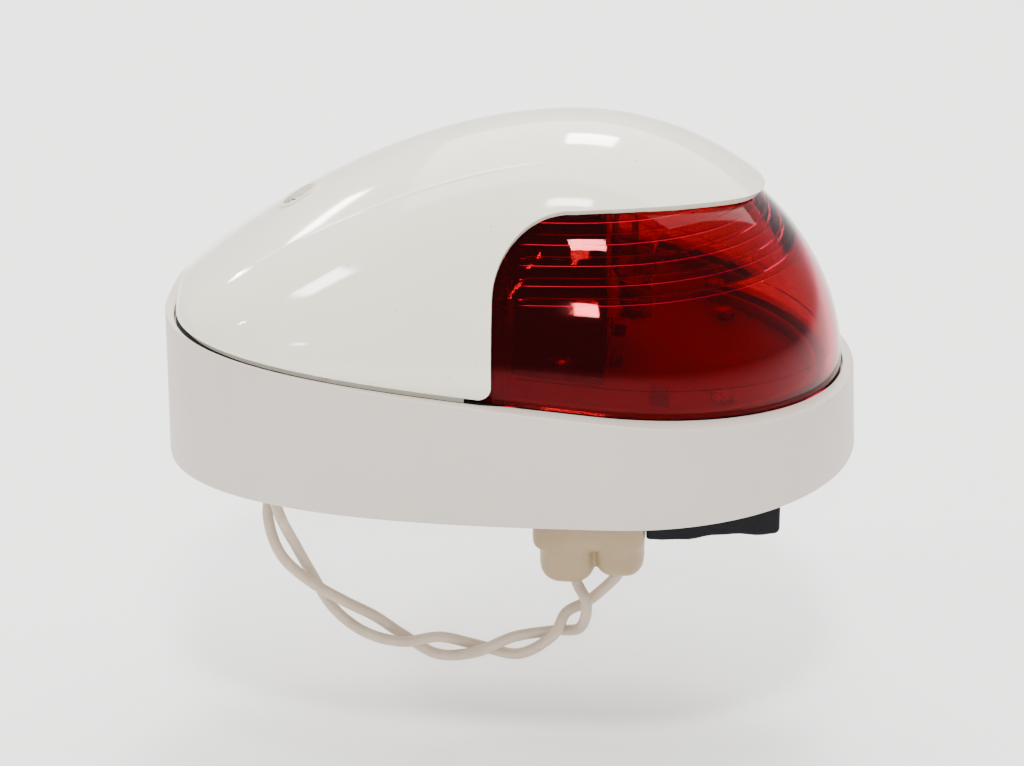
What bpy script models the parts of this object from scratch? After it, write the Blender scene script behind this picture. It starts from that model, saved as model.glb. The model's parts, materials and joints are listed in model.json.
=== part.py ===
"""Side navigation light for a small boat, built as separate pieces.

Frame: origin on the deck face in the middle of the base, +X to the nose, +Z up.
The base is a wedge, lower at the nose.  Its sloping top is the rim plane, and the
cover, the lens, the gasket and the tray are drawn upright and then sheared onto it.
"""
import math

import bmesh
import bpy
from mathutils import Matrix, Vector

# Base: plan, wedge and walls
BASE_HALF_LENGTH = 0.075
BASE_HALF_WIDTH = 0.048
BASE_WIDEST_X = 0.024
BASE_REAR_POWER = 2.8
TAIL_HEIGHT = 0.033
NOSE_HEIGHT = 0.0185
DRAFT = 0.0008
WALL = 0.003
FLOOR = 0.003
RIM_FLANGE = 0.004

# Cover and lens: one egg-shaped form, measured from the rim plane
DOME_X = 0.020
DOME_HALF_WIDTH = 0.044
DOME_TAIL_X = -0.0715
DOME_REAR_POWER = 3.2
DOME_REACH = 0.0515
CROWN = 0.0492
RIDGE_REACH = 0.0955
RIDGE_POWER = 1.8
VISOR_REACH = 0.055
COVER_THICKNESS = 0.0018
COVER_EDGE = 0.0009
LENS_STEP = 0.0006
LENS_DROP = 0.0022
LENS_THICKNESS = 0.003
FOOT_DEPTH = 0.0006

# Side opening that the lens fills
OPENING_REAR_X = -0.0005
OPENING_RADIUS = 0.017
OPENING_CORNER_H = 0.021
VISOR_EDGE_X = 0.040
VISOR_EDGE_H = 0.0397
VISOR_EDGE_FALL = (2.9, 6.0)
CORNER_RADIUS = 0.003
FLANGE_REACH = 0.005
FLANGE_LAP = 0.003

# Groove in the rim, with its gasket
GROOVE_OUT = -0.0004
GROOVE_IN = 0.0052
GROOVE_DEPTH = 0.002
GASKET_IN = 0.0048
GASKET_HEIGHT = 0.0008
MOUTH_INSET = 0.0065

# Cover screw and the pillar under it
SCREW_X = -0.045
SCREW_RADIUS = 0.00175
SCREW_HEAD_RADIUS = 0.0032
SCREW_HEAD_HEIGHT = 0.0022
SCREW_SEAT_Z = 0.050
SCREW_END_Z = 0.024
COLLAR_RADIUS = 0.0042
COLLAR_PROUD = 0.0006
WELL_RADIUS = 0.0035
PILLAR_RADIUS = 0.0055
PILLAR_TOP_Z = 0.0337
INSERT_RADIUS = 0.003

# Tray, tower and contacts
TRAY_INSET = 0.007
TRAY_REAR_X = -0.002
TRAY_LOW = -0.004
TRAY_THICKNESS = 0.0016
TOWER_SCREW = (0.012, 0.018)
TRAY_SCREW = (0.046, 0.023)
TOWER_X = (0.002, 0.021)
TOWER_HALF_WIDTH = 0.014
TOWER_TOP_Z = 0.058
STRIP = 0.0006
CONTACT_FRONT_X = 0.031
CONTACT_LOW_Z = 0.029
CONTACT_HIGH_Z = 0.0563
STRIP_FOOT_Z = 0.012

# Festoon bulb, upright between the contacts
BULB_X = 0.027
BULB_RADIUS = 0.005
CAP_RADIUS = 0.0036
CAP_HEIGHT = 0.0031
PIP_RADIUS = 0.0013
PIP_LENGTH = 0.0016

# Electrical pieces under the floor
LEAD_RADIUS = 0.00125
BLADE_X = (0.0146, 0.0235)
BLADE_Y = -0.008
CONNECTOR_X = (0.0056, 0.0297)
CONNECTOR_Y = (-0.013, -0.003)
LOBE_DEPTH = (0.0308, 0.0288)
NOTCH_DEPTH = 0.0265
HEADER_X = (0.030, 0.0592)
HEADER_HALF_WIDTH = 0.011
HEADER_SHELF = 0.0023
GROMMET = (-0.053, -0.009)
GROMMET_RADIUS = 0.0047
LEAD_SPLIT = 0.0017

GAP = 0.0003
WELD = 1e-6
OVERCUT = 0.005

SLOPE = (TAIL_HEIGHT - NOSE_HEIGHT) / (2 * BASE_HALF_LENGTH)
RIM_MID = (TAIL_HEIGHT + NOSE_HEIGHT) / 2
RIM_SHEAR = Matrix(((1, 0, 0, 0), (0, 1, 0, 0), (-SLOPE, 0, 1, RIM_MID), (0, 0, 0, 1)))

# Middle line of the loosely twisted lead pair, from the connector to the tail grommet:
# x, y, z, half turns so far, half the distance between the two leads
PAIR_ROUTE = (
    (0.0172, -0.0088, -0.0375, 1.42, 0.0024),
    (0.0138, -0.0096, -0.0418, 1.90, 0.0023),
    (0.0095, -0.0100, -0.0450, 2.45, 0.0017),
    (0.0010, -0.0100, -0.0484, 3.00, 0.0022),
    (-0.0080, -0.0100, -0.0495, 3.50, 0.0017),
    (-0.0165, -0.0100, -0.0490, 4.00, 0.0022),
    (-0.0245, -0.0100, -0.0475, 4.48, 0.0017),
    (-0.0320, -0.0100, -0.0440, 4.85, 0.0021),
    (-0.0388, -0.0100, -0.0393, 5.15, 0.0023),
    (-0.0450, -0.0100, -0.0325, 5.50, 0.0018),
    (-0.0497, -0.0100, -0.0258, 5.80, 0.0020),
    (-0.0524, -0.0097, -0.0185, 6.15, 0.0019),
    (-0.0530, -0.0092, -0.0110, 6.40, 0.0018),
)


def start_scene():
    """Clear the scene and make the two collections."""
    for old in list(bpy.data.objects):
        bpy.data.objects.remove(old, do_unlink=True)
    made = []
    for name in ("navigation_light", "cutters"):
        collection = bpy.data.collections.new(name)
        bpy.context.scene.collection.children.link(collection)
        made.append(collection)
    return made


PARTS, CUTTERS = start_scene()


# ---------------------------------------------------------------- finishes

def finish(name, colour, roughness, metallic=0.0, clear=0.0):
    """A Principled material from a linear colour."""
    made = bpy.data.materials.new(name)
    made.use_nodes = True
    shader = made.node_tree.nodes["Principled BSDF"]
    shader.inputs["Base Color"].default_value = (*colour, 1.0)
    shader.inputs["Roughness"].default_value = roughness
    shader.inputs["Metallic"].default_value = metallic
    shader.inputs["Transmission Weight"].default_value = clear
    made.diffuse_color = (*colour, 1.0)
    return made


FINISHES = {
    "cover_white": finish("cover_white", (0.80, 0.78, 0.71), 0.18),
    "base_white": finish("base_white", (0.60, 0.55, 0.51), 0.38),
    "lens_red": finish("lens_red", (0.45, 0.004, 0.012), 0.06, clear=0.9),
    "inner_white": finish("inner_white", (0.70, 0.69, 0.66), 0.45),
    "inner_black": finish("inner_black", (0.012, 0.012, 0.014), 0.50),
    "rubber": finish("rubber", (0.02, 0.02, 0.02), 0.75),
    "connector_beige": finish("connector_beige", (0.45, 0.36, 0.24), 0.50),
    "lead_white": finish("lead_white", (0.55, 0.52, 0.46), 0.45),
    "brass": finish("brass", (0.70, 0.50, 0.22), 0.30, metallic=1.0),
    "stainless": finish("stainless", (0.62, 0.62, 0.62), 0.28, metallic=1.0),
    "tungsten": finish("tungsten", (0.25, 0.25, 0.26), 0.40, metallic=1.0),
    "glass": finish("glass", (0.95, 0.95, 0.95), 0.02, clear=1.0),
}


# ---------------------------------------------------------------- shapes

def shape(name, mesh):
    """Put a mesh in the cutters' collection, as a guide that is not drawn."""
    made = bpy.data.objects.new(name, mesh)
    made.hide_render = True
    made.display_type = "WIRE"
    CUTTERS.objects.link(made)
    return made


def from_bmesh(name, bm):
    """Mesh object from a bmesh, which is freed."""
    mesh = bpy.data.meshes.new(name)
    bm.to_mesh(mesh)
    bm.free()
    return shape(name, mesh)


def box(name, low, high):
    """Box between two corners."""
    bm = bmesh.new()
    bmesh.ops.create_cube(bm, size=1.0)
    size = Vector(high) - Vector(low)
    bmesh.ops.scale(bm, vec=size, verts=bm.verts)
    bmesh.ops.translate(bm, vec=(Vector(high) + Vector(low)) / 2, verts=bm.verts)
    return from_bmesh(name, bm)


def cylinder(name, radius, low, high, place=(0.0, 0.0), segments=24):
    """Upright cylinder between two heights."""
    bm = bmesh.new()
    bmesh.ops.create_cone(bm, cap_ends=True, segments=segments, radius1=radius,
                          radius2=radius, depth=high - low)
    bmesh.ops.translate(bm, vec=(*place, (low + high) / 2), verts=bm.verts)
    return from_bmesh(name, bm)


def evaluated_mesh(source):
    """The mesh of an object with its modifiers, or of a curve, welded."""
    bpy.context.view_layer.update()
    depsgraph = bpy.context.evaluated_depsgraph_get()
    mesh = bpy.data.meshes.new_from_object(source.evaluated_get(depsgraph))
    bm = bmesh.new()
    bm.from_mesh(mesh)
    bmesh.ops.remove_doubles(bm, verts=bm.verts, dist=WELD)
    bm.to_mesh(mesh)
    bm.free()
    mesh.transform(source.matrix_world)
    bpy.data.objects.remove(source, do_unlink=True)
    return mesh


def slab(name, outline, low, high, holes=()):
    """Flat outline, with any holes in it, given a thickness between two heights."""
    curve = bpy.data.curves.new(name, "CURVE")
    curve.dimensions = "2D"
    curve.fill_mode = "BOTH"
    curve.extrude = (high - low) / 2
    for loop in (outline, *holes):
        spline = curve.splines.new("POLY")
        spline.points.add(len(loop) - 1)
        for point, (x, y) in zip(spline.points, loop):
            point.co = (x, y, 0.0, 1.0)
        spline.use_cyclic_u = True
    source = bpy.data.objects.new(name, curve)
    CUTTERS.objects.link(source)
    source.location.z = (low + high) / 2
    bpy.context.view_layer.update()
    return shape(name, evaluated_mesh(source))


def trim(piece, point, normal):
    """Cut away what lies past a plane and close the cut."""
    bm = bmesh.new()
    bm.from_mesh(piece.data)
    geometry = bm.verts[:] + bm.edges[:] + bm.faces[:]
    bmesh.ops.bisect_plane(bm, geom=geometry, dist=WELD, plane_co=point, plane_no=normal,
                           clear_outer=True)
    rim = [edge for edge in bm.edges if edge.is_boundary]
    bmesh.ops.holes_fill(bm, edges=rim, sides=0)
    bmesh.ops.recalc_face_normals(bm, faces=bm.faces)
    bm.to_mesh(piece.data)
    bm.free()
    return piece


def on_rim(piece):
    """Shear a shape drawn above a level plane onto the sloping rim plane."""
    piece.data.transform(RIM_SHEAR)
    return piece


def sideways(piece):
    """Turn a slab drawn in X and Y so that it stands in X and Z."""
    piece.data.transform(Matrix.Rotation(math.pi / 2, 4, "X"))
    return piece


def turned(name, profile, closed=False, steps=24):
    """Profile of radius and height, outer side first from the top, turned about Z."""
    mesh = bpy.data.meshes.new(name)
    count = len(profile)
    edges = [(index, index + 1) for index in range(count - 1)]
    if closed:
        edges.append((count - 1, 0))
    mesh.from_pydata([(radius, 0.0, height) for radius, height in profile], edges, [])
    piece = shape(name, mesh)
    screw = piece.modifiers.new("turn", "SCREW")
    screw.steps = steps
    screw.render_steps = steps
    screw.use_merge_vertices = True
    screw.merge_threshold = WELD
    screw.use_normal_calculate = False
    return piece


def ring(name, inner, outer, low, high, steps=24):
    """Turned ring of rectangular section."""
    profile = ((inner, high), (outer, high), (outer, low), (inner, low))
    return turned(name, profile, closed=True, steps=steps)


def joined(name, pieces):
    """One object from several that do not touch."""
    bm = bmesh.new()
    for piece in pieces:
        bm.from_mesh(evaluated_mesh(piece))
    return from_bmesh(name, bm)


def copies(name, piece, places):
    """Copies of one shape, numbered, each its own object that shares the mesh."""
    bpy.context.view_layer.update()
    mesh = evaluated_mesh(piece)
    made = []
    for number, place in enumerate(places, 1):
        copy = shape(f"{name}_{number}", mesh)
        copy.location = place
        made.append(copy)
    return made


def boolean(piece, other, operation="DIFFERENCE"):
    """Cut, join or keep a piece by another shape."""
    step = piece.modifiers.new(operation.lower(), "BOOLEAN")
    step.operation = operation
    step.solver = "EXACT"
    step.object = other
    return piece


def tube(name, points, radius):
    """Round tube along points, with closed ends."""
    curve = bpy.data.curves.new(name, "CURVE")
    curve.dimensions = "3D"
    curve.bevel_depth = radius
    curve.bevel_resolution = 2
    curve.use_fill_caps = True
    spline = curve.splines.new("POLY")
    spline.points.add(len(points) - 1)
    for point, place in zip(spline.points, points):
        point.co = (*place, 1.0)
    source = bpy.data.objects.new(name, curve)
    CUTTERS.objects.link(source)
    return source


def smooth_route(points, spacing):
    """Points at even spacing on a smooth curve through the route's points."""
    ends = [points[0]] + list(points) + [points[-1]]
    fine = []
    for before, start, stop, after in zip(ends, ends[1:], ends[2:], ends[3:]):
        for step in range(16):
            t = step / 16
            fine.append(0.5 * (2 * start + (stop - before) * t
                               + (2 * before - 5 * start + 4 * stop - after) * t * t
                               + (3 * start - before - 3 * stop + after) * t * t * t))
    fine.append(points[-1])
    total = sum((b - a).length for a, b in zip(fine, fine[1:]))
    count = max(2, round(total / spacing))
    even = [fine[0]]
    walked = 0.0
    for a, b in zip(fine, fine[1:]):
        run = (b - a).length
        while len(even) < count and walked + run >= total * len(even) / count - WELD:
            share = (total * len(even) / count - walked) / run
            even.append(a.lerp(b, min(share, 1.0)))
        walked += run
    even.append(fine[-1])
    return even


def part(piece, name, finish_name, body):
    """Name a shape as a sub-part of the light, with its finish and its moving body."""
    piece.name = name
    piece.hide_render = False
    piece.display_type = "TEXTURED"
    CUTTERS.objects.unlink(piece)
    PARTS.objects.link(piece)
    piece.data.materials.clear()
    piece.data.materials.append(FINISHES[finish_name])
    if piece.type == "MESH" and piece.data.polygons:
        piece.data.shade_smooth()
        piece.data.set_sharp_from_angle(angle=math.radians(35))
    piece.parent = body
    piece.matrix_parent_inverse = body.matrix_world.inverted()
    return piece


def parts(pieces, finish_name, body):
    """Make each of several like shapes a sub-part, under its own name."""
    bpy.context.view_layer.update()
    for piece in pieces:
        part(piece, piece.name, finish_name, body)


def empty(name, place, parent=None):
    """Empty on a joint's axis, which carries the pieces of one body."""
    made = bpy.data.objects.new(name, None)
    made.empty_display_size = 0.01
    PARTS.objects.link(made)
    made.parent = parent
    made.location = Vector(place) - (parent.matrix_world.translation if parent else Vector())
    bpy.context.view_layer.update()
    return made


# ---------------------------------------------------------------- outlines and forms

def plan(widest, nose, tail, half_width, rear_power, quarter=15):
    """Plan outline from the nose round: an ellipse in front, a squarer curve behind."""
    points = []
    for step in range(4 * quarter):
        angle = math.pi * step / (2 * quarter)
        along, across = math.cos(angle), math.sin(angle)
        power = 2.0 if along >= 0 else rear_power
        reach = nose - widest if along >= 0 else widest - tail
        x = widest + math.copysign(abs(along) ** (2 / power), along) * reach
        y = math.copysign(abs(across) ** (2 / power), across) * half_width
        points.append((x, y))
    return points


def base_plan(inset):
    """Outline of the base, moved inward."""
    return plan(BASE_WIDEST_X, BASE_HALF_LENGTH - inset, inset - BASE_HALF_LENGTH,
                BASE_HALF_WIDTH - inset, BASE_REAR_POWER)


def dome_plan(inset):
    """Outline of the cover and lens on the rim plane, moved inward."""
    return plan(DOME_X, DOME_X + DOME_REACH - inset, DOME_TAIL_X + inset,
                DOME_HALF_WIDTH - inset, DOME_REAR_POWER)


def circle(radius, place=(0.0, 0.0), count=24):
    """Round outline."""
    turn = 2 * math.pi / count
    return [(place[0] + radius * math.cos(turn * step), place[1] + radius * math.sin(turn * step))
            for step in range(count)]


def arc(centre, radius, start, stop, count=8):
    """Points along an arc between two angles in degrees."""
    angles = [math.radians(start + (stop - start) * step / count) for step in range(count + 1)]
    return [(centre[0] + radius * math.cos(a), centre[1] + radius * math.sin(a)) for a in angles]


def dome(name, reach, half_width, crown, inset, bottom):
    """Egg-shaped solid: elliptical sections from the tail to a point at the nose."""
    across = half_width - inset
    front = reach - inset
    rear = DOME_X - DOME_TAIL_X - inset
    stations = [DOME_X - rear * math.sin(math.radians(angle)) for angle in range(86, 0, -6)]
    stations += [DOME_X + front * math.sin(math.radians(angle)) for angle in range(0, 91, 6)]
    bm = bmesh.new()
    rows = []
    for x in stations:
        if x <= DOME_X:
            share = (DOME_X - x) / rear
            half = across * (1 - share ** DOME_REAR_POWER) ** (1 / DOME_REAR_POWER)
            top = crown * (1 - ((DOME_X - x) / RIDGE_REACH) ** RIDGE_POWER) - inset
        else:
            fall = math.sqrt(max(0.0, 1 - ((x - DOME_X) / front) ** 2))
            half = across * fall
            top = (crown - inset) * fall
        row = [(x, -half, bottom)]
        for step in range(21):
            angle = math.pi * step / 20
            row.append((x, -math.cos(angle) * half, math.sin(angle) * top))
        row.append((x, half, bottom))
        rows.append([bm.verts.new(co) for co in row])
    for near, far in zip(rows, rows[1:]):
        for a, b in zip(range(len(near)), list(range(1, len(near))) + [0]):
            bm.faces.new((near[a], near[b], far[b], far[a]))
    bm.faces.new(rows[0])
    bmesh.ops.remove_doubles(bm, verts=bm.verts, dist=WELD)
    bmesh.ops.recalc_face_normals(bm, faces=bm.faces)
    return on_rim(from_bmesh(name, bm))


def cover_form(name, inset, bottom):
    """The cover's form, moved inward."""
    return dome(name, VISOR_REACH, DOME_HALF_WIDTH, CROWN, inset, bottom)


def lens_form(name, inset, bottom):
    """The lens's form, moved inward."""
    return dome(name, DOME_REACH, DOME_HALF_WIDTH - LENS_STEP, CROWN - LENS_DROP, inset, bottom)


def visor_edge(x):
    """Height of the visor's lower edge, highest a little ahead of the crown."""
    rear_fall, front_fall = VISOR_EDGE_FALL
    fall = rear_fall if x < VISOR_EDGE_X else front_fall
    return VISOR_EDGE_H - fall * (x - VISOR_EDGE_X) ** 2


def opening(name, grow, corner=True):
    """Sideways prism of the side opening, grown or shrunk all round."""
    rear = OPENING_REAR_X - grow
    far = 2 * BASE_HALF_LENGTH
    low = -OVERCUT
    edge = [(x / 1000, visor_edge(x / 1000) + grow) for x in (66, 58, 54, 50, 46, 40, 34, 28, 22, 17)]
    outline = [(far, low), (far, edge[0][1]), *edge]
    centre = (OPENING_REAR_X + OPENING_RADIUS, OPENING_CORNER_H)
    outline += arc(centre, OPENING_RADIUS + grow, 98, 180)
    if corner:
        round_corner = arc((rear - CORNER_RADIUS, COVER_EDGE + CORNER_RADIUS), CORNER_RADIUS, 0, -90, 5)
        outline += round_corner + [(rear - CORNER_RADIUS, low)]
    else:
        outline.append((rear, low))
    return on_rim(sideways(slab(name, outline, -BASE_HALF_LENGTH, BASE_HALF_LENGTH)))


# ---------------------------------------------------------------- base

def rim_post(name, radius, place, top):
    """Round post from the floor to a height below or above the rim plane."""
    post = on_rim(slab(name, circle(radius, place, 20), -0.050, top))
    return trim(post, (0.0, 0.0, FLOOR - GAP), (0.0, 0.0, -1.0))


def base_housing(root):
    """Wedge-shaped base: wall, floor, rim with a groove, pillar, posts and holes."""
    body = slab("base_housing", base_plan(0.0), 0.0, 0.050)
    taper = DRAFT / RIM_MID
    for vertex in body.data.vertices:
        shrink = 1 - taper * vertex.co.z / BASE_HALF_LENGTH
        vertex.co.x *= shrink
        vertex.co.y *= 1 - taper * vertex.co.z / BASE_HALF_WIDTH
    trim(body, (0.0, 0.0, RIM_MID), (SLOPE, 0.0, 1.0))

    cavity = on_rim(slab("cavity", base_plan(WALL + DRAFT), -0.050, -RIM_FLANGE))
    boolean(body, trim(cavity, (0.0, 0.0, FLOOR), (0.0, 0.0, -1.0)))
    mouth = slab("mouth", dome_plan(MOUTH_INSET), -RIM_FLANGE - WALL / 2, OVERCUT)
    boolean(body, on_rim(mouth))
    groove = slab("groove", dome_plan(GROOVE_OUT), -GROOVE_DEPTH, OVERCUT, [dome_plan(GROOVE_IN)])
    boolean(body, on_rim(groove))

    pillar = cylinder("pillar", PILLAR_RADIUS, FLOOR - GAP, PILLAR_TOP_Z, (SCREW_X, 0.0))
    posts = [pillar]
    for x, y in (TOWER_SCREW, TRAY_SCREW):
        for side in (-1, 1):
            posts.append(rim_post("post", 0.0034, (x, side * y), TRAY_LOW - GAP))
    boolean(body, joined("posts", posts), "UNION")

    holes = [cylinder("pillar_bore", INSERT_RADIUS + GAP, 0.020, 0.040, (SCREW_X, 0.0))]
    for x, y in (TOWER_SCREW, TRAY_SCREW):
        for side in (-1, 1):
            holes.append(cylinder("post_bore", 0.0015, 0.008, 0.030, (x, side * y), 12))
    holes.append(cylinder("grommet_hole", GROMMET_RADIUS + GAP, -0.001, FLOOR + 0.001, GROMMET))
    for x in BLADE_X:
        holes.append(box("blade_slot", (x - 0.0028, BLADE_Y - 0.0008, -0.001),
                         (x + 0.0028, BLADE_Y + 0.0008, FLOOR + 0.001)))
    for x in (0.040, 0.052):
        holes.append(cylinder("header_hole", 0.0018, -0.001, FLOOR + 0.001, (x, 0.0), 16))
    for x, y in ((-0.058, 0.021), (0.030, 0.034)):
        for side in (-1, 1):
            holes.append(cylinder("deck_hole", 0.0023, -0.001, FLOOR + 0.001, (x, side * y), 16))
    boolean(body, joined("floor_holes", holes))
    seal_groove = slab("seal_groove", base_plan(0.0047), -0.001, 0.0018, [base_plan(0.0083)])
    boolean(body, seal_groove)
    part(body, "base_housing", "base_white", root)

    seal = slab("deck_seal", base_plan(0.005), 0.0, 0.0015, [base_plan(0.008)])
    part(seal, "deck_seal", "rubber", root)
    insert = ring("threaded_insert", SCREW_RADIUS + GAP, INSERT_RADIUS, 0.0235, PILLAR_TOP_Z - GAP)
    insert.location.x = SCREW_X
    part(insert, "threaded_insert", "brass", root)
    gasket_low = GAP - GROOVE_DEPTH
    gasket = slab("lens_gasket", dome_plan(0.0), gasket_low, gasket_low + GASKET_HEIGHT,
                  [dome_plan(GASKET_IN)])
    part(on_rim(gasket), "lens_gasket", "rubber", root)


# ---------------------------------------------------------------- cover and its screw

def cover(cover_body, screw_body):
    """Opaque cover with its visor, lip, screw post and well, and the screw in it."""
    shell = trim(cover_form("cover", 0.0, -OVERCUT), (0.0, 0.0, RIM_MID + COVER_EDGE), (-SLOPE, 0.0, -1.0))
    boolean(shell, cover_form("cover_inside", COVER_THICKNESS, -2 * OVERCUT))
    lip = slab("lip", dome_plan(0.0012), -FOOT_DEPTH, 0.0035, [dome_plan(0.0028)])
    lip_rear = box("lip_rear", (-0.1, -0.1, -0.1), (OPENING_REAR_X - FLANGE_REACH - 0.0007, 0.1, 0.1))
    boolean(on_rim(lip), lip_rear, "INTERSECT")
    boolean(shell, lip, "UNION")
    boolean(shell, opening("opening", 0.0))

    post = cylinder("screw_post", COLLAR_RADIUS, PILLAR_TOP_Z + GAP, 0.080, (SCREW_X, 0.0))
    boolean(post, cover_form("collar_form", -COLLAR_PROUD, -OVERCUT), "INTERSECT")
    boolean(shell, post, "UNION")
    well = ((WELL_RADIUS, 0.080), (WELL_RADIUS, SCREW_SEAT_Z), (SCREW_RADIUS + GAP, SCREW_SEAT_Z),
            (SCREW_RADIUS + GAP, 0.030))
    well = turned("well", ((0.0, 0.080), *well, (0.0, 0.030)))
    well.location.x = SCREW_X
    boolean(shell, well)
    part(shell, "cover", "cover_white", cover_body)

    washer = ring("cover_screw_washer", SCREW_RADIUS + GAP, SCREW_HEAD_RADIUS,
                  SCREW_SEAT_Z + GAP, SCREW_SEAT_Z + GAP + 0.0008)
    washer.location.x = SCREW_X
    part(washer, "cover_screw_washer", "rubber", screw_body)
    seat = SCREW_SEAT_Z + 0.0008 + 2 * GAP
    head = seat + SCREW_HEAD_HEIGHT
    profile = ((0.0, head), (SCREW_HEAD_RADIUS - 0.0008, head), (SCREW_HEAD_RADIUS, head - 0.0008),
               (SCREW_HEAD_RADIUS, seat), (SCREW_RADIUS, seat), (SCREW_RADIUS, SCREW_END_Z + 0.0008),
               (SCREW_RADIUS - 0.0008, SCREW_END_Z), (0.0, SCREW_END_Z))
    screw = turned("cover_screw", profile)
    screw.location.x = SCREW_X
    slot = 0.0019
    long_way = box("slot_long", (SCREW_X - slot, -0.0004, head - 0.001), (SCREW_X + slot, 0.0004, 0.06))
    cross_way = box("slot_cross", (SCREW_X - 0.0004, -slot, head - 0.001), (SCREW_X + 0.0004, slot, 0.06))
    boolean(boolean(screw, long_way), cross_way)
    part(screw, "cover_screw", "stainless", screw_body)


# ---------------------------------------------------------------- lens

def lens(lens_body):
    """Red lens: a window that fills the opening and a flange that tucks under the cover."""
    flange = cover_form("lens_flange", COVER_THICKNESS + GAP, -FOOT_DEPTH)
    boolean(flange, opening("flange_outside", FLANGE_REACH, corner=False), "INTERSECT")
    boolean(flange, opening("flange_inside", -FLANGE_LAP, corner=False))
    boolean(flange, cover_form("flange_hollow", COVER_THICKNESS + GAP + 0.0025, -2 * OVERCUT))

    window = lens_form("lens", 0.0, -FOOT_DEPTH)
    boolean(window, opening("window_edge", -GAP), "INTERSECT")
    boolean(window, lens_form("lens_inside", LENS_THICKNESS, -2 * OVERCUT))
    boolean(window, flange, "UNION")
    part(window, "lens", "lens_red", lens_body)


# ---------------------------------------------------------------- tray, tower, contacts

def tray_and_tower(root):
    """White tray on its posts, the black tower that screens the bulb, and the screws."""
    tray_top = TRAY_LOW + TRAY_THICKNESS
    window = [(0.031, -0.029), (0.035, -0.029), (0.035, -0.019), (0.031, -0.019)]
    holes = [window]
    for low_y, high_y in ((-0.012, -0.005), (0.005, 0.012)):
        holes.append([(0.0203, low_y), (0.0245, low_y), (0.0245, high_y), (0.0203, high_y)])
    for x, y in (TOWER_SCREW, TRAY_SCREW):
        holes += [circle(0.0018, (x, side * y), 16) for side in (-1, 1)]
    tray = slab("lamp_tray", dome_plan(TRAY_INSET), TRAY_LOW, tray_top, holes)
    front_only = box("tray_front", (TRAY_REAR_X, -0.1, -0.1), (0.1, 0.1, 0.1))
    boolean(on_rim(tray), front_only, "INTERSECT")
    part(tray, "lamp_tray", "inner_white", root)

    foot = tray_top + GAP
    foot_outline = [(TOWER_X[0], -0.0225), (TOWER_X[1], -0.0225), (TOWER_X[1], 0.0225), (TOWER_X[0], 0.0225)]
    screw_holes = [circle(0.0018, (TOWER_SCREW[0], side * TOWER_SCREW[1]), 16) for side in (-1, 1)]
    tower = on_rim(slab("sector_screen", foot_outline, foot, foot + 0.0016, screw_holes))
    block = box("tower_block", (TOWER_X[0], -TOWER_HALF_WIDTH, 0.0), (TOWER_X[1], TOWER_HALF_WIDTH, TOWER_TOP_Z))
    above = on_rim(slab("above_foot", base_plan(0.0), foot + 0.0004, 0.08))
    boolean(block, above, "INTERSECT")
    boolean(tower, block, "UNION")
    hollow = box("tower_hollow", (TOWER_X[0] + 0.0016, 0.0016 - TOWER_HALF_WIDTH, 0.0),
                 (TOWER_X[1] - 0.0016, TOWER_HALF_WIDTH - 0.0016, TOWER_TOP_Z - 0.0016))
    boolean(tower, hollow)
    part(tower, "sector_screen", "inner_black", root)

    seats = ((TOWER_SCREW, foot + 0.0016 + GAP), (TRAY_SCREW, tray_top + GAP))
    for name, ((x, y), seat) in zip(("tower_screw", "tray_screw"), seats):
        profile = ((0.0, 0.0014), (0.0020, 0.0014), (0.0026, 0.0008), (0.0026, 0.0), (0.0012, 0.0),
                   (0.0012, -0.0085), (0.0, -0.0085))
        lean = SLOPE * 0.0026
        places = [(x, side * y, seat + lean + RIM_MID - SLOPE * x) for side in (-1, 1)]
        parts(copies(name, turned(name, profile, steps=16), places), "stainless", root)


def contact(name, plate_z, side, root):
    """Brass strip up the tower's face, ending in a plate with a fork open to the front."""
    face = TOWER_X[1] + GAP
    strip_y = sorted((side * 0.006, side * 0.011))
    plate_y = sorted((side * 0.011, -side * 0.005))
    plate = box(name, (face, plate_y[0], plate_z), (CONTACT_FRONT_X, plate_y[1], plate_z + STRIP))
    strip = box("strip", (face, strip_y[0], STRIP_FOOT_Z), (face + STRIP, strip_y[1], plate_z + STRIP / 2))
    boolean(plate, strip, "UNION")
    fork = PIP_RADIUS + GAP
    boolean(plate, box("fork", (BULB_X, -fork, plate_z - 0.001), (0.04, fork, plate_z + 0.002)))
    boolean(plate, cylinder("fork_end", fork, plate_z - 0.001, plate_z + 0.002, (BULB_X, 0.0), 16))
    rivet_hole = cylinder("rivet_hole", 0.0011 + GAP, -0.003, 0.003, segments=16)
    rivet_hole.data.transform(Matrix.Rotation(math.pi / 2, 4, "Y"))
    rivet_hole.location = (face, side * 0.0085, plate_z - 0.004)
    boolean(plate, rivet_hole)
    part(plate, name, "brass", root)


def contacts(root):
    """Both contacts and the rivets that hold them to the tower."""
    contact("contact_lower", CONTACT_LOW_Z, 1, root)
    contact("contact_upper", CONTACT_HIGH_Z, -1, root)
    face = TOWER_X[1] + GAP + STRIP + GAP
    rivet = turned("contact_rivet", ((0.0, 0.0006), (0.0012, 0.0005), (0.0018, 0.0), (0.0011, 0.0),
                                      (0.0011, -0.0009), (0.0, -0.0009)), steps=16)
    rivet.rotation_euler.y = math.pi / 2
    places = [(face, 0.0085, CONTACT_LOW_Z - 0.004), (face, -0.0085, CONTACT_HIGH_Z - 0.004)]
    parts(copies("contact_rivet", rivet, places), "brass", root)


# ---------------------------------------------------------------- bulb

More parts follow.
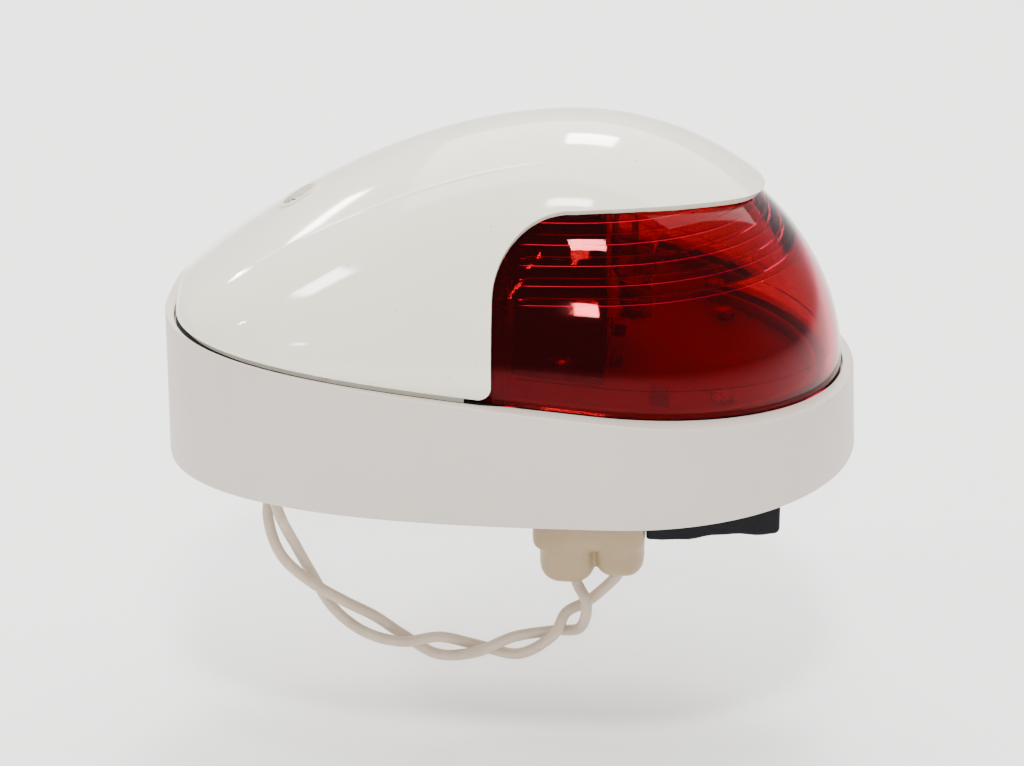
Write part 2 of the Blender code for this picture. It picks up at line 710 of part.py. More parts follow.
def bulb(bulb_body):
    """Festoon bulb: glass tube with open necks, two caps and the filament."""
    low_cap = CONTACT_LOW_Z + STRIP + GAP
    high_cap = CONTACT_HIGH_Z - GAP
    glass_low = low_cap + CAP_HEIGHT + GAP
    glass_high = high_cap - CAP_HEIGHT - GAP
    neck = 0.0024
    outer = [(neck, glass_high)]
    outer += [(neck + (BULB_RADIUS - neck) * math.sin(math.radians(a)),
               glass_high - 0.0030 * (1 - math.cos(math.radians(a)))) for a in (30, 60, 90)]
    outer += [(radius, glass_low + glass_high - height) for radius, height in reversed(outer)]
    inner = [(radius - 0.0006, height) for radius, height in reversed(outer)]
    glass = turned("bulb_glass", outer + inner, closed=True, steps=20)
    glass.location.x = BULB_X
    part(glass, "bulb_glass", "glass", bulb_body)

    for name, seat, way in (("bulb_cap_lower", low_cap, 1), ("bulb_cap_upper", high_cap, -1)):
        profile = [(0.0, -PIP_LENGTH), (PIP_RADIUS, -PIP_LENGTH), (PIP_RADIUS, 0.0),
                   (CAP_RADIUS - 0.0008, 0.0), (CAP_RADIUS, 0.0008), (CAP_RADIUS, CAP_HEIGHT),
                   (0.0, CAP_HEIGHT)]
        profile = [(radius, seat + way * height) for radius, height in profile]
        if way > 0:
            profile.reverse()
        cap = turned(name, profile, steps=20)
        cap.location.x = BULB_X
        part(cap, name, "brass", bulb_body)

    low, high = glass_low + 0.0006, glass_high - 0.0006
    points = [Vector((BULB_X, 0.0, low)), Vector((BULB_X, 0.0, low + 0.004))]
    turns, per_turn = 6, 6
    for step in range(turns * per_turn + 1):
        angle = 2 * math.pi * step / per_turn
        share = step / (turns * per_turn)
        points.append(Vector((BULB_X + 0.0008 * math.cos(angle), 0.0008 * math.sin(angle),
                              low + 0.005 + (high - low - 0.010) * share)))
    points += [Vector((BULB_X, 0.0, high - 0.004)), Vector((BULB_X, 0.0, high))]
    part(tube("bulb_filament", points, 0.00018), "bulb_filament", "tungsten", bulb_body)


# ---------------------------------------------------------------- electrical pieces

def header_and_connector(root):
    """Black header under the floor, its blades and screws, and the beige connector."""
    near, far = HEADER_X
    outline = [(CONNECTOR_X[0], -GAP), (CONNECTOR_X[0], -GAP - HEADER_SHELF), (near, -GAP - HEADER_SHELF),
               (near, -0.0206), (0.039, -0.0206), (0.050, -0.0187)]
    outline += arc((far - 0.006, -0.0122), 0.006, -90, 0, 5) + [(far, -GAP)]
    header = sideways(slab("terminal_header", outline, -HEADER_HALF_WIDTH, HEADER_HALF_WIDTH))
    cuts = []
    for x in BLADE_X:
        cuts.append(box("blade_slot", (x - 0.0027, BLADE_Y - 0.0007, -0.005), (x + 0.0027, BLADE_Y + 0.0007, 0.001)))
    for x in (0.040, 0.052):
        cuts.append(cylinder("screw_bore", 0.0018, -0.010, 0.001, (x, 0.0), 16))
    boolean(header, joined("header_cuts", cuts))
    part(header, "terminal_header", "inner_black", root)

    screw = turned("header_screws", ((0.0, 0.0050), (0.0024, 0.0050), (0.0030, 0.0044), (0.0030, FLOOR + GAP),
                                     (0.0015, FLOOR + GAP), (0.0015, -0.0085), (0.0, -0.0085)), steps=16)
    parts(copies("header_screw", screw, [(0.040, 0.0, 0.0), (0.052, 0.0, 0.0)]), "stainless", root)

    blade = box("blade", (-0.0024, -0.0004, -0.014), (0.0024, 0.0004, 0.007))
    places = [(x, BLADE_Y, 0.0) for x in BLADE_X]
    parts(copies("blade_terminal", blade, places), "brass", root)

    top = -GAP - HEADER_SHELF - GAP
    left, right = CONNECTOR_X
    radius = 0.0055
    first, second = LOBE_DEPTH
    middle = (BLADE_X[0] + BLADE_X[1]) / 2
    lobes = [(left, top)]
    lobes += arc((left + radius, radius - first), radius, 180, 270, 5)
    lobes += arc((middle - 0.0005 - 0.003, 0.003 - first), 0.003, 270, 345, 4)
    lobes += [(middle, -NOTCH_DEPTH)]
    lobes += arc((middle + 0.0005 + 0.003, 0.003 - second), 0.003, 195, 270, 4)
    lobes += arc((right - radius, radius - second), radius, 270, 360, 5)
    lobes += [(right, top)]
    housing = slab("connector_housing", lobes, -CONNECTOR_Y[1], -CONNECTOR_Y[0])
    sideways(housing)
    cuts = [box("pocket", (x - 0.0033, BLADE_Y - 0.0019, -0.016), (x + 0.0033, BLADE_Y + 0.0019, 0.0))
            for x in BLADE_X]
    boolean(housing, joined("pockets", cuts))
    part(housing, "connector_housing", "connector_beige", root)

    sleeve = box("sleeve", (-0.0030, -0.0016, -0.0157), (0.0030, 0.0016, top))
    boolean(sleeve, box("sleeve_slot", (-0.0027, -0.0007, -0.0145), (0.0027, 0.0007, 0.001)))
    parts(copies("connector_receptacle", sleeve, places), "brass", root)


def leads(root):
    """The twisted pair outside, the grommet, and the same leads inside the base."""
    exits = []
    for x, depth in zip(BLADE_X, LOBE_DEPTH):
        exits.append(Vector((x, BLADE_Y, -depth - GAP)))
    twisted = ([], [])
    middles = [Vector(entry[:3]) for entry in PAIR_ROUTE]
    for index, entry in enumerate(PAIR_ROUTE):
        ahead = middles[min(index + 1, len(middles) - 1)] - middles[max(index - 1, 0)]
        across = ahead.cross(Vector((0.0, 1.0, 0.0))).normalized()
        deep = across.cross(ahead).normalized()
        angle = math.pi * entry[3]
        away = (across * math.cos(angle) + deep * math.sin(angle)) * entry[4]
        twisted[0].append(middles[index] + away)
        twisted[1].append(middles[index] - away)
    entries = [Vector((GROMMET[0], GROMMET[1] + side * LEAD_SPLIT, -GAP)) for side in (1, -1)]
    for name, start, run, end in zip(("lead_a", "lead_b"), exits, twisted, entries):
        below = Vector((0.0, 0.0, 0.002))
        route = smooth_route([start - below, *run, end - below], 0.005)
        part(tube(name, [start, *route, end], LEAD_RADIUS), name, "lead_white", root)

    flange = GROMMET_RADIUS + 0.0013
    grommet = turned("tail_grommet", ((0.0, 0.0052), (flange, 0.0052), (flange, FLOOR + GAP),
                                      (GROMMET_RADIUS, FLOOR + GAP), (GROMMET_RADIUS, 0.0), (0.0, 0.0)))
    grommet.location = (*GROMMET, 0.0)
    part(grommet, "tail_grommet", "rubber", root)

    block_low, block_high = (-0.030, -0.010, FLOOR + GAP), (-0.014, 0.010, 0.0130)
    block = box("terminal_block", block_low, block_high)
    screw_places = [(x, y, block_high[2]) for x in (-0.026, -0.018) for y in (-0.005, 0.005)]
    well = cylinder("screw_well", 0.0024, -0.004, 0.002, segments=16)
    boolean(block, joined("screw_wells", copies("screw_well", well, screw_places)))
    part(block, "terminal_block", "inner_white", root)
    screw = turned("terminal_screws", ((0.0, -0.0012), (0.0020, -0.0012), (0.0020, -0.0037), (0.0, -0.0037)),
                   steps=12)
    parts(copies("terminal_screw", screw, screw_places), "stainless", root)

    for name, side, y_end in (("inner_lead_a", 1, -0.0030), ("inner_lead_b", -1, -0.0068)):
        start = Vector((GROMMET[0], GROMMET[1] + side * LEAD_SPLIT, 0.0052 + GAP))
        middle = Vector((-0.044, -0.0107 + 0.0018 * side, 0.0125))
        end = Vector((block_low[0] - GAP, y_end, 0.0075))
        first, last = start + Vector((0.0, 0.0, 0.0015)), end - Vector((0.0015, 0.0, 0.0))
        route = smooth_route([first, middle, last], 0.0035)
        part(tube(name, [start, *route, end], LEAD_RADIUS), name, "lead_white", root)

    strip_x = TOWER_X[1] + GAP + STRIP / 2
    for name, x, side in (("link_wire_a", BLADE_X[0], -1), ("link_wire_b", BLADE_X[1], 1)):
        start = Vector((x, BLADE_Y, 0.007 + GAP))
        end = Vector((strip_x, side * 0.0085, STRIP_FOOT_Z - GAP))
        stub = Vector((0.0, 0.0, 0.001))
        route = smooth_route([start + stub, (start + end) / 2, end - stub], 0.0022)
        part(tube(name, [start, *route, end], 0.0008), name, "lead_white", root)


def main():
    """Build every sub-part on its body's empty."""
    root = empty("root", (0.0, 0.0, 0.0))
    cover_body = empty("cover_slide", (SCREW_X, 0.0, PILLAR_TOP_Z))
    screw_body = empty("cover_screw_slide", (SCREW_X, 0.0, SCREW_SEAT_Z), cover_body)
    lens_body = empty("lens_slide", (DOME_X, 0.0, RIM_MID))
    bulb_body = empty("bulb_slide", (BULB_X, 0.0, (CONTACT_LOW_Z + CONTACT_HIGH_Z) / 2))
    base_housing(root)
    cover(cover_body, screw_body)
    lens(lens_body)
    tray_and_tower(root)
    contacts(root)
    bulb(bulb_body)
    header_and_connector(root)
    leads(root)
    bpy.context.view_layer.update()


main()
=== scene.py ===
"""Side navigation light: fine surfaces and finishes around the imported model."""
import json
import math

import bmesh
import bpy
from bpy.props import FloatProperty, FloatVectorProperty, IntProperty, PointerProperty
from mathutils import Matrix, Vector


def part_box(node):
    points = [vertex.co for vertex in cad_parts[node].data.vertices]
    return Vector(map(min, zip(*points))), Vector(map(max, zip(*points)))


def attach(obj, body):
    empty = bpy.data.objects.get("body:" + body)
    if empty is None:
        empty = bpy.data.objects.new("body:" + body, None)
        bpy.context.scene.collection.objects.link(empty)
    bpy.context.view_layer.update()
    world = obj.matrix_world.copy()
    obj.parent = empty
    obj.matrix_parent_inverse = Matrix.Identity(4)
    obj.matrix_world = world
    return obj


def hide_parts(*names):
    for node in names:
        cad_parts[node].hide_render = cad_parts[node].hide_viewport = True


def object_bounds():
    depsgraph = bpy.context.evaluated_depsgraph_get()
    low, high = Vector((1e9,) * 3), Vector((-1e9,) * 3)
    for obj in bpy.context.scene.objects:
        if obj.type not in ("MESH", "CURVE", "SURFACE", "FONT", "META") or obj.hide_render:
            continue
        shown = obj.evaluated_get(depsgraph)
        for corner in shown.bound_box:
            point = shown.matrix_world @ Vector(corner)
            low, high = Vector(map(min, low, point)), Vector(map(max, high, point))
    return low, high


bl_info = {
    "name": "Side navigation light",
    "version": (1, 0, 0),
    "blender": (4, 5, 0),
    "location": "View3D > Sidebar > Nav Light",
    "description": "Builds a side navigation light piece by piece around its packed model",
    "category": "Object",
}

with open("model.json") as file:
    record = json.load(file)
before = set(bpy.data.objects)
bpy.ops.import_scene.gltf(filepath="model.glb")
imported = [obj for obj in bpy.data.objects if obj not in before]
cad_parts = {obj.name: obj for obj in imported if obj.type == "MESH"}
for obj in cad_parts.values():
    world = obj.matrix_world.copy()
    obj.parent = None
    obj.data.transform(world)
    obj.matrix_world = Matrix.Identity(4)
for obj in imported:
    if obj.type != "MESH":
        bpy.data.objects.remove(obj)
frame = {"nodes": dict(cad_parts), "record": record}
CAD_LOW, CAD_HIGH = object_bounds()
BASE_LOW, BASE_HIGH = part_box("base_housing")
BULB_LOW, BULB_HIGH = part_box("bulb_glass")
BULB_CENTRE = (BULB_LOW + BULB_HIGH) / 2
GROMMET_CENTRE = sum(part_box("tail_grommet"), Vector()) / 2
HOUSING_LOW, HOUSING_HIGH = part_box("connector_housing")
HEADER_LOW, HEADER_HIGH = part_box("terminal_header")
BLADES = [sum(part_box(f"blade_terminal_{number}"), Vector()) / 2 for number in (1, 2)]
GAP = 0.0003
WELD = 1e-7
FINISHES = {}

# Shoulder line of the cover, seen from above: where it starts, how far it runs,
# how far from the middle it starts and how much closer it comes
SHOULDER_START, SHOULDER_RUN, SHOULDER_SIDE, SHOULDER_CLOSING = -0.055, 0.064, 0.0209, 0.0034

# Holes for the deck screws, in x and the distance to each side, and their radius
DECK_HOLES, DECK_HOLE_RADIUS = ((-0.058, 0.021), (0.030, 0.034)), 0.0023

# Azimuth and elevation of each panel as seen from the light, its width, height and power
PANELS = {
    "panel_overhead_back": (177, 50, 0.25, 0.24, 10.0),
    "panel_window_left": (-71, 48, 0.20, 0.17, 5.0),
    "panel_side_strip": (-136, 32, 0.20, 0.09, 3.2),
    "panel_overhead_front": (9, 61, 0.20, 0.13, 12.0),
    "panel_top": (-4, 80, 0.20, 0.10, 3.0),
    "panel_front": (3, 27, 0.09, 0.13, 6.0),
    "panel_soft_back": (165, 58, 1.8, 1.4, 30.0),
    "lamp_left": (-129, 25, 0.045, 0.06, 0.8),
    "lamp_side": (-75, 30, 0.035, 0.05, 0.5),
    "lamp_low": (-37, 12, 0.07, 0.03, 0.5),
}
PANEL_DISTANCE = 1.25

# Where the camera stands round the light, in degrees and metres, and what it looks at
CAMERA_AZIMUTH, CAMERA_ELEVATION, CAMERA_ROLL, CAMERA_DROP = 5.05, 22.2, -0.79, 1.57
CAMERA_DISTANCE, CAMERA_TARGET, CAMERA_LENS = 0.615, Vector((0.0, 0.0, 0.030)), 99.7

# Middle line of the loosely twisted lead pair, from the connector to the tail grommet:
# x, y, z, half turns so far, half the distance between the two leads
PAIR_ROUTE = (
    (0.0172, -0.0088, -0.0375, 1.42, 0.0024),
    (0.0138, -0.0096, -0.0418, 1.90, 0.0023),
    (0.0095, -0.0100, -0.0450, 2.45, 0.0017),
    (0.0010, -0.0100, -0.0484, 3.00, 0.0022),
    (-0.0080, -0.0100, -0.0495, 3.50, 0.0017),
    (-0.0165, -0.0100, -0.0490, 4.00, 0.0022),
    (-0.0245, -0.0100, -0.0475, 4.48, 0.0017),
    (-0.0320, -0.0100, -0.0440, 4.85, 0.0021),
    (-0.0388, -0.0100, -0.0393, 5.15, 0.0023),
    (-0.0450, -0.0100, -0.0325, 5.50, 0.0018),
    (-0.0497, -0.0100, -0.0258, 5.80, 0.0020),
    (-0.0524, -0.0097, -0.0185, 6.15, 0.0019),
    (-0.0530, -0.0092, -0.0110, 6.40, 0.0018),
)


# ---------------------------------------------------------------- what a user would change

def length(name, default, description):
    """A length in metres."""
    return FloatProperty(name=name, default=default, description=description, unit="LENGTH", precision=5)


def colour(name, default, description):
    """A linear colour."""
    return FloatVectorProperty(name=name, default=default, description=description,
                               subtype="COLOR", size=3, min=0.0, max=1.0)


class LightSizes(bpy.types.PropertyGroup):
    """Sizes of the light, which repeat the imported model's."""

    half_length: length("Half length", BASE_HIGH.x, "Half the base's length")
    half_width: length("Half width", BASE_HIGH.y, "Half the base's greatest width")
    widest_x: length("Widest at", 0.024, "Where along the base it is widest")
    rear_power: FloatProperty(name="Rear squareness", default=2.8, description="2 is an ellipse")
    tail_height: length("Tail height", 0.033, "Height of the wall at the tail")
    nose_height: length("Nose height", 0.0185, "Height of the wall at the nose")
    draft: length("Draft", 0.0008, "How far the wall leans in up to the rim")
    wall: length("Wall", 0.003, "Thickness of the base's wall and floor")
    flange: length("Flange", 0.004, "Thickness of the rim")
    groove_out: length("Groove outside", -0.0004, "Inset of the groove's outer side")
    groove_in: length("Groove inside", 0.0052, "Inset of the groove's inner side")
    groove_depth: length("Groove depth", 0.002, "Depth of the gasket groove")
    mouth_inset: length("Mouth inset", 0.0065, "Inset of the opening in the rim")

    dome_x: length("Crown at", 0.020, "Where along the light the cover is highest")
    dome_half_width: length("Cover half width", 0.044, "Half the cover's width on the rim")
    dome_tail_x: length("Cover tail", -0.0715, "Where the cover's tail ends")
    dome_power: FloatProperty(name="Cover squareness", default=3.2, description="2 is an ellipse")
    lens_reach: length("Lens reach", 0.0515, "From the crown to the lens's nose")
    visor_reach: length("Visor reach", 0.055, "From the crown to where the visor's form would end")
    crown: length("Crown height", 0.04915, "Height of the cover above the rim")
    ridge_reach: length("Ridge reach", 0.0955, "From the crown to where the ridge would meet the rim")
    ridge_power: FloatProperty(name="Ridge power", default=1.8, description="2 is a parabola")
    lens_step: length("Lens step", 0.0006, "How far the lens stands inside the cover at the foot")
    lens_drop: length("Lens drop", 0.0022, "How far the lens stands below the cover at the crown")
    thickness: length("Cover thickness", 0.0018, "Wall of the cover")
    flute_low: length("Lowest flute", 0.0457, "Height of the lens's lowest prism step above the deck")
    flute_pitch: length("Flute pitch", 0.0035, "Height of each prism step")
    flute_depth: length("Flute depth", 0.0009, "Depth of each prism step")
    lens_thickness: length("Lens thickness", 0.0026, "Wall of the lens")
    shoulder: length("Shoulder", 0.00024, "How far the shoulder line stands out of the cover")
    cover_edge: length("Cover edge", 0.0009, "Gap between the cover's edge and the rim")
    foot: length("Foot depth", 0.0006, "How deep the lens and the lip stand in the groove")
    opening_rear: length("Opening rear", -0.0005, "Rear edge of the side opening")
    opening_radius: length("Opening radius", 0.017, "Radius of the opening's upper corner")
    opening_corner: length("Opening corner", 0.021, "Height of that corner's centre above the rim")
    visor_edge_x: length("Visor edge at", 0.040, "Where the visor's edge is highest")
    visor_edge: length("Visor edge", 0.0397, "Height of the visor's edge there above the rim")
    corner_radius: length("Corner radius", 0.003, "Radius of the cover's lower corner")
    flange_reach: length("Lens flange", 0.005, "How far the lens runs on under the cover")

    screw_x: length("Screw at", -0.045, "Where the cover screw stands")
    well_radius: length("Well radius", 0.0035, "Radius of the screw's well")
    collar_radius: length("Collar radius", 0.0042, "Radius of the raised collar round the well")
    seat_z: length("Screw seat", 0.050, "Height of the seat under the screw's head")
    pillar_z: length("Pillar top", BASE_HIGH.z, "Height of the pillar under the screw")
    lead_radius: length("Lead radius", 0.00125, "Radius of each sheathed lead")
    detail: IntProperty(name="Detail", default=44, min=12, description="Steps in a quarter of an outline")


class LightColours(bpy.types.PropertyGroup):
    """Colours of the finishes."""

    cover: colour("Cover", (0.79, 0.745, 0.61), "Glossy warm white")
    base: colour("Base", (0.535, 0.475, 0.42), "Satin white")
    lens: colour("Lens", (0.41, 0.0006, 0.030), "Clear red")
    # Darker than the base's and cover's white: painted shade for the dim inside of the light
    inside: colour("Inside", (0.36, 0.34, 0.33), "White moulded inside")
    black: colour("Black", (0.0045, 0.0045, 0.007), "Black moulding")
    rubber: colour("Rubber", (0.018, 0.018, 0.018), "Black rubber")
    connector: colour("Connector", (0.33, 0.24, 0.13), "Beige soft plastic")
    lead: colour("Lead", (0.50, 0.40, 0.305), "Lead's sheath")
    brass: colour("Brass", (0.72, 0.50, 0.22), "Brass")
    steel: colour("Steel", (0.58, 0.58, 0.57), "Stainless steel")
    floor: colour("Floor", (0.90, 0.90, 0.90), "Studio floor")


def sizes():
    """The scene's sizes."""
    return bpy.context.scene.light_sizes


def colours():
    """The scene's colours."""
    return bpy.context.scene.light_colours


# ---------------------------------------------------------------- node helpers

def feed(tree, socket, value):
    """Link a socket to another, or set it to a value."""
    if isinstance(value, bpy.types.NodeSocket):
        tree.links.new(value, socket)
    else:
        socket.default_value = value


def add(tree, kind, inputs=None, **settings):
    """A node with settings, and its inputs set or linked by name."""
    node = tree.nodes.new(kind)
    for key, value in settings.items():
        setattr(node, key, value)
    for key, value in (inputs or {}).items():
        feed(tree, node.inputs[key], value)
    return node


def axes_of(tree):
    """The three Object coordinates, by name."""
    place = add(tree, "ShaderNodeTexCoord").outputs["Object"]
    return add(tree, "ShaderNodeSeparateXYZ", {"Vector": place}).outputs


def noise_at(tree, scale, detail=3.0, roughness=0.55, stretch=(1.0, 1.0, 1.0)):
    """Noise on Object coordinates, stretched along the axes."""
    place = add(tree, "ShaderNodeTexCoord").outputs["Object"]
    mapped = add(tree, "ShaderNodeMapping", {"Vector": place, "Scale": stretch})
    made = add(tree, "ShaderNodeTexNoise", {"Vector": mapped.outputs["Vector"], "Scale": scale,
                                            "Detail": detail, "Roughness": roughness})
    return made.outputs["Fac"]


def spread(tree, value, low, high, to_low, to_high):
    """A value's range from low to high made to run between two others."""
    made = add(tree, "ShaderNodeMapRange", {"Value": value, "From Min": low, "From Max": high,
                                            "To Min": to_low, "To Max": to_high})
    return made.outputs["Result"]


def band(tree, value, rise, fall):
    """1 between two stretches, each a start and a stop, and 0 outside them."""
    return combined(tree, "MULTIPLY", spread(tree, value, *rise, 0.0, 1.0),
                    spread(tree, value, *fall, 1.0, 0.0))


def tinted(tree, share, first, second):
    """One colour turning to another with a share."""
    made = add(tree, "ShaderNodeMix", data_type="RGBA")
    for key, tone in (("Factor", share), ("A", first), ("B", second)):
        feed(tree, made.inputs[key], (*tone, 1.0) if isinstance(tone, tuple) else tone)
    return made.outputs["Result"]


def combined(tree, operation, first, second):
    """Two values put together by a maths node."""
    made = add(tree, "ShaderNodeMath", {0: first, 1: second}, operation=operation)
    return made.outputs["Value"]


def bumped(tree, height, strength, distance, normal=None):
    """Surface normal raised by a height."""
    inputs = {"Height": height, "Strength": strength, "Distance": distance}
    if normal is not None:
        inputs["Normal"] = normal
    return add(tree, "ShaderNodeBump", inputs).outputs["Normal"]


def scaled(tone, factor):
    """A colour made lighter or darker."""
    return tuple(min(1.0, channel * factor) for channel in tone)


def finish(name):
    """New material with its tree and shader."""
    made = bpy.data.materials.new(name)
    made.use_nodes = True
    return made, made.node_tree, made.node_tree.nodes["Principled BSDF"]


def connect(tree, shader, **sockets):
    """Set or link the shader's sockets, underscores standing for spaces."""
    for key, value in sockets.items():
        feed(tree, shader.inputs[key.replace("_", " ")], value)


# ---------------------------------------------------------------- finishes

def shoulder_highlight_mask(tree):
    """Mask for the painted highlight: 1 on the crest of the cover's shoulder line, fading out at its sides
    and ends.
    """
    axes = axes_of(tree)
    along = combined(tree, "DIVIDE", combined(tree, "SUBTRACT", axes["X"], SHOULDER_START), SHOULDER_RUN)
    closing = combined(tree, "MULTIPLY", SHOULDER_CLOSING, combined(tree, "MULTIPLY", along, along))
    line = combined(tree, "SUBTRACT", SHOULDER_SIDE, closing)
    off = combined(tree, "SUBTRACT", combined(tree, "ABSOLUTE", axes["Y"], 0.0), line)
    near = spread(tree, combined(tree, "ABSOLUTE", off, 0.0), 0.00015, 0.00045, 0.9, 0.0)
    ends = band(tree, along, (0.0, 0.08), (0.92, 1.0))
    upper = spread(tree, axes["Z"], 0.040, 0.042, 0.0, 1.0)
    return combined(tree, "MULTIPLY", combined(tree, "MULTIPLY", near, ends), upper)


def gloss_white():
    """Glossy moulded cover: faint cloudiness, sparse specks, soft ripple, a painted highlight along the
    shoulder line.
    """
    made, tree, shader = finish("gloss_white_cover")
    tone = tuple(colours().cover)
    cloud = spread(tree, noise_at(tree, 24.0, 4.0), 0.35, 0.65, 0.0, 1.0)
    body = tinted(tree, cloud, scaled(tone, 0.97), scaled(tone, 1.02))
    specks = spread(tree, noise_at(tree, 620.0, 1.0), 0.775, 0.80, 0.0, 1.0)
    speckled = tinted(tree, combined(tree, "MULTIPLY", specks, 0.5), body, scaled(tone, 0.45))
    # Painted highlight: the crest of the shoulder line lightened to near white
    highlighted = tinted(tree, shoulder_highlight_mask(tree), speckled, (1.0, 1.0, 0.96))
    ripple = bumped(tree, noise_at(tree, 70.0, 2.0), 0.05, 0.0004)
    fine = bumped(tree, noise_at(tree, 900.0, 2.0), 0.03, 0.0001, ripple)
    rough = spread(tree, noise_at(tree, 45.0, 5.0), 0.3, 0.7, 0.06, 0.12)
    connect(tree, shader, Base_Color=highlighted, Roughness=rough, Normal=fine, Coat_Weight=0.4,
            Coat_Roughness=0.04, Specular_IOR_Level=0.5)
    return made


def satin_white():
    """Satin moulded base: fine grain, faint vertical streaks, small scuffs."""
    made, tree, shader = finish("satin_white_base")
    tone = tuple(colours().base)
    streak = spread(tree, noise_at(tree, 60.0, 3.0, stretch=(1.0, 1.0, 0.25)), 0.3, 0.7, 0.0, 1.0)
    body = tinted(tree, streak, scaled(tone, 0.985), scaled(tone, 1.012))
    scuff = spread(tree, noise_at(tree, 240.0, 2.0, stretch=(1.0, 1.0, 3.0)), 0.735, 0.78, 0.0, 1.0)
    scuffed = tinted(tree, combined(tree, "MULTIPLY", scuff, 0.45), body, scaled(tone, 0.55))
    grain = bumped(tree, noise_at(tree, 1500.0, 2.0), 0.10, 0.0001)
    rough = spread(tree, noise_at(tree, 90.0, 4.0), 0.3, 0.7, 0.34, 0.46)
    connect(tree, shader, Base_Color=scuffed, Roughness=rough, Normal=grain)
    return made


def clear_red():
    """Clear red acrylic: cloudy colour, painted shade along the prism steps and over the fluted band, a
    painted highlight on the steps' edges, hairlines on the surface.
    """
    made, tree, shader = finish("clear_red_lens")
    s = sizes()
    tone = tuple(colours().lens)
    cloud = spread(tree, noise_at(tree, 30.0, 3.0), 0.35, 0.65, 0.0, 1.0)
    body = tinted(tree, cloud, scaled(tone, 0.90), scaled(tone, 1.06))

    axes = axes_of(tree)
    number = combined(tree, "DIVIDE", combined(tree, "SUBTRACT", axes["Z"], s.flute_low), s.flute_pitch)
    fluted = combined(tree, "MULTIPLY", spread(tree, number, -0.02, 0.02, 0.0, 1.0),
                      spread(tree, axes["X"], 0.0045, 0.0065, 0.0, 1.0))
    share = combined(tree, "FRACT", number, 0.0)
    # Painted shade: a dark line along each prism step, a fainter one just above it, and an even darkening
    # over the whole fluted band
    painted_step_shade = combined(tree, "MULTIPLY", band(tree, share, (0.06, 0.09), (0.12, 0.15)), 0.60)
    faint = combined(tree, "MULTIPLY", band(tree, share, (0.19, 0.21), (0.23, 0.26)), 0.35)
    lines = combined(tree, "ADD", combined(tree, "ADD", painted_step_shade, faint), 0.22)
    step_shaded = tinted(tree, combined(tree, "MULTIPLY", fluted, lines), body, (0.02, 0.0, 0.0))

    edge = combined(tree, "MULTIPLY", fluted, band(tree, share, (0.0, 0.015), (0.045, 0.065)))
    glint = combined(tree, "MULTIPLY", edge, spread(tree, axes["X"], 0.012, 0.060, 0.60, 0.18))
    lit = tinted(tree, glint, step_shaded, (0.75, 0.001, 0.02))

    surface = bumped(tree, noise_at(tree, 420.0, 2.0, stretch=(0.08, 0.08, 1.0)), 0.02, 0.0001)
    rough = spread(tree, noise_at(tree, 60.0, 5.0), 0.35, 0.7, 0.015, 0.06)
    connect(tree, shader, Base_Color=lit, Roughness=rough, Normal=surface, IOR=1.49,
            Transmission_Weight=combined(tree, "SUBTRACT", 1.0, glint),
            Specular_Tint=(0.75, 0.11, 0.13, 1.0))
    return made


def moulded(name, tone, roughness, grain=0.08, variety=0.06, grain_scale=1200.0, shine=0.5):
    """Moulded plastic or rubber with a fine grain."""
    made, tree, shader = finish(name)
    cloud = spread(tree, noise_at(tree, 80.0, 4.0), 0.3, 0.7, 0.0, 1.0)
    body = tinted(tree, cloud, scaled(tone, 1.0 - variety), scaled(tone, 1.0 + variety))
    surface = bumped(tree, noise_at(tree, grain_scale, 3.0), grain, 0.0002)
    rough = spread(tree, noise_at(tree, 150.0, 3.0), 0.3, 0.7, roughness - 0.05, roughness + 0.07)
    connect(tree, shader, Base_Color=body, Roughness=rough, Normal=surface, Specular_IOR_Level=shine)
    return made


def soft_beige():
    """Soft beige connector sleeve: mottled, slightly grubby."""
    made, tree, shader = finish("soft_beige_connector")
    tone = tuple(colours().connector)
    cloud = spread(tree, noise_at(tree, 110.0, 5.0, 0.6), 0.3, 0.7, 0.0, 1.0)
    body = tinted(tree, cloud, scaled(tone, 0.88), scaled(tone, 1.08))
    lumps = bumped(tree, noise_at(tree, 190.0, 3.0), 0.25, 0.0004)
    grain = bumped(tree, noise_at(tree, 1800.0, 2.0), 0.12, 0.0001, lumps)
    connect(tree, shader, Base_Color=body, Roughness=0.42, Normal=grain, Subsurface_Weight=0.08,
            Subsurface_Scale=0.002)
    return made


def lead_sheath():
    """Off-white sheath of the leads: fine drag lines and a little dirt."""
    made, tree, shader = finish("lead_sheath")
    tone = tuple(colours().lead)
    dirt = spread(tree, noise_at(tree, 160.0, 5.0, 0.65), 0.4, 0.75, 0.0, 1.0)
    body = tinted(tree, dirt, scaled(tone, 1.05), scaled(tone, 0.80))
    surface = bumped(tree, noise_at(tree, 700.0, 3.0, stretch=(1.0, 1.0, 0.5)), 0.15, 0.0002)
    connect(tree, shader, Base_Color=body, Roughness=0.43, Normal=surface)
    return made


def metal(name, tone, roughness, stretch):
    """Drawn or turned metal, with fine lines and a little tarnish."""
    made, tree, shader = finish(name)
    tarnish = spread(tree, noise_at(tree, 260.0, 5.0), 0.4, 0.75, 0.0, 1.0)
    body = tinted(tree, tarnish, tone, scaled(tone, 0.72))
    surface = bumped(tree, noise_at(tree, 1400.0, 2.0, stretch=stretch), 0.12, 0.0001)
    rough = spread(tree, noise_at(tree, 500.0, 3.0), 0.3, 0.7, roughness - 0.06, roughness + 0.10)
    connect(tree, shader, Base_Color=body, Metallic=1.0, Roughness=rough, Normal=surface)
    return made


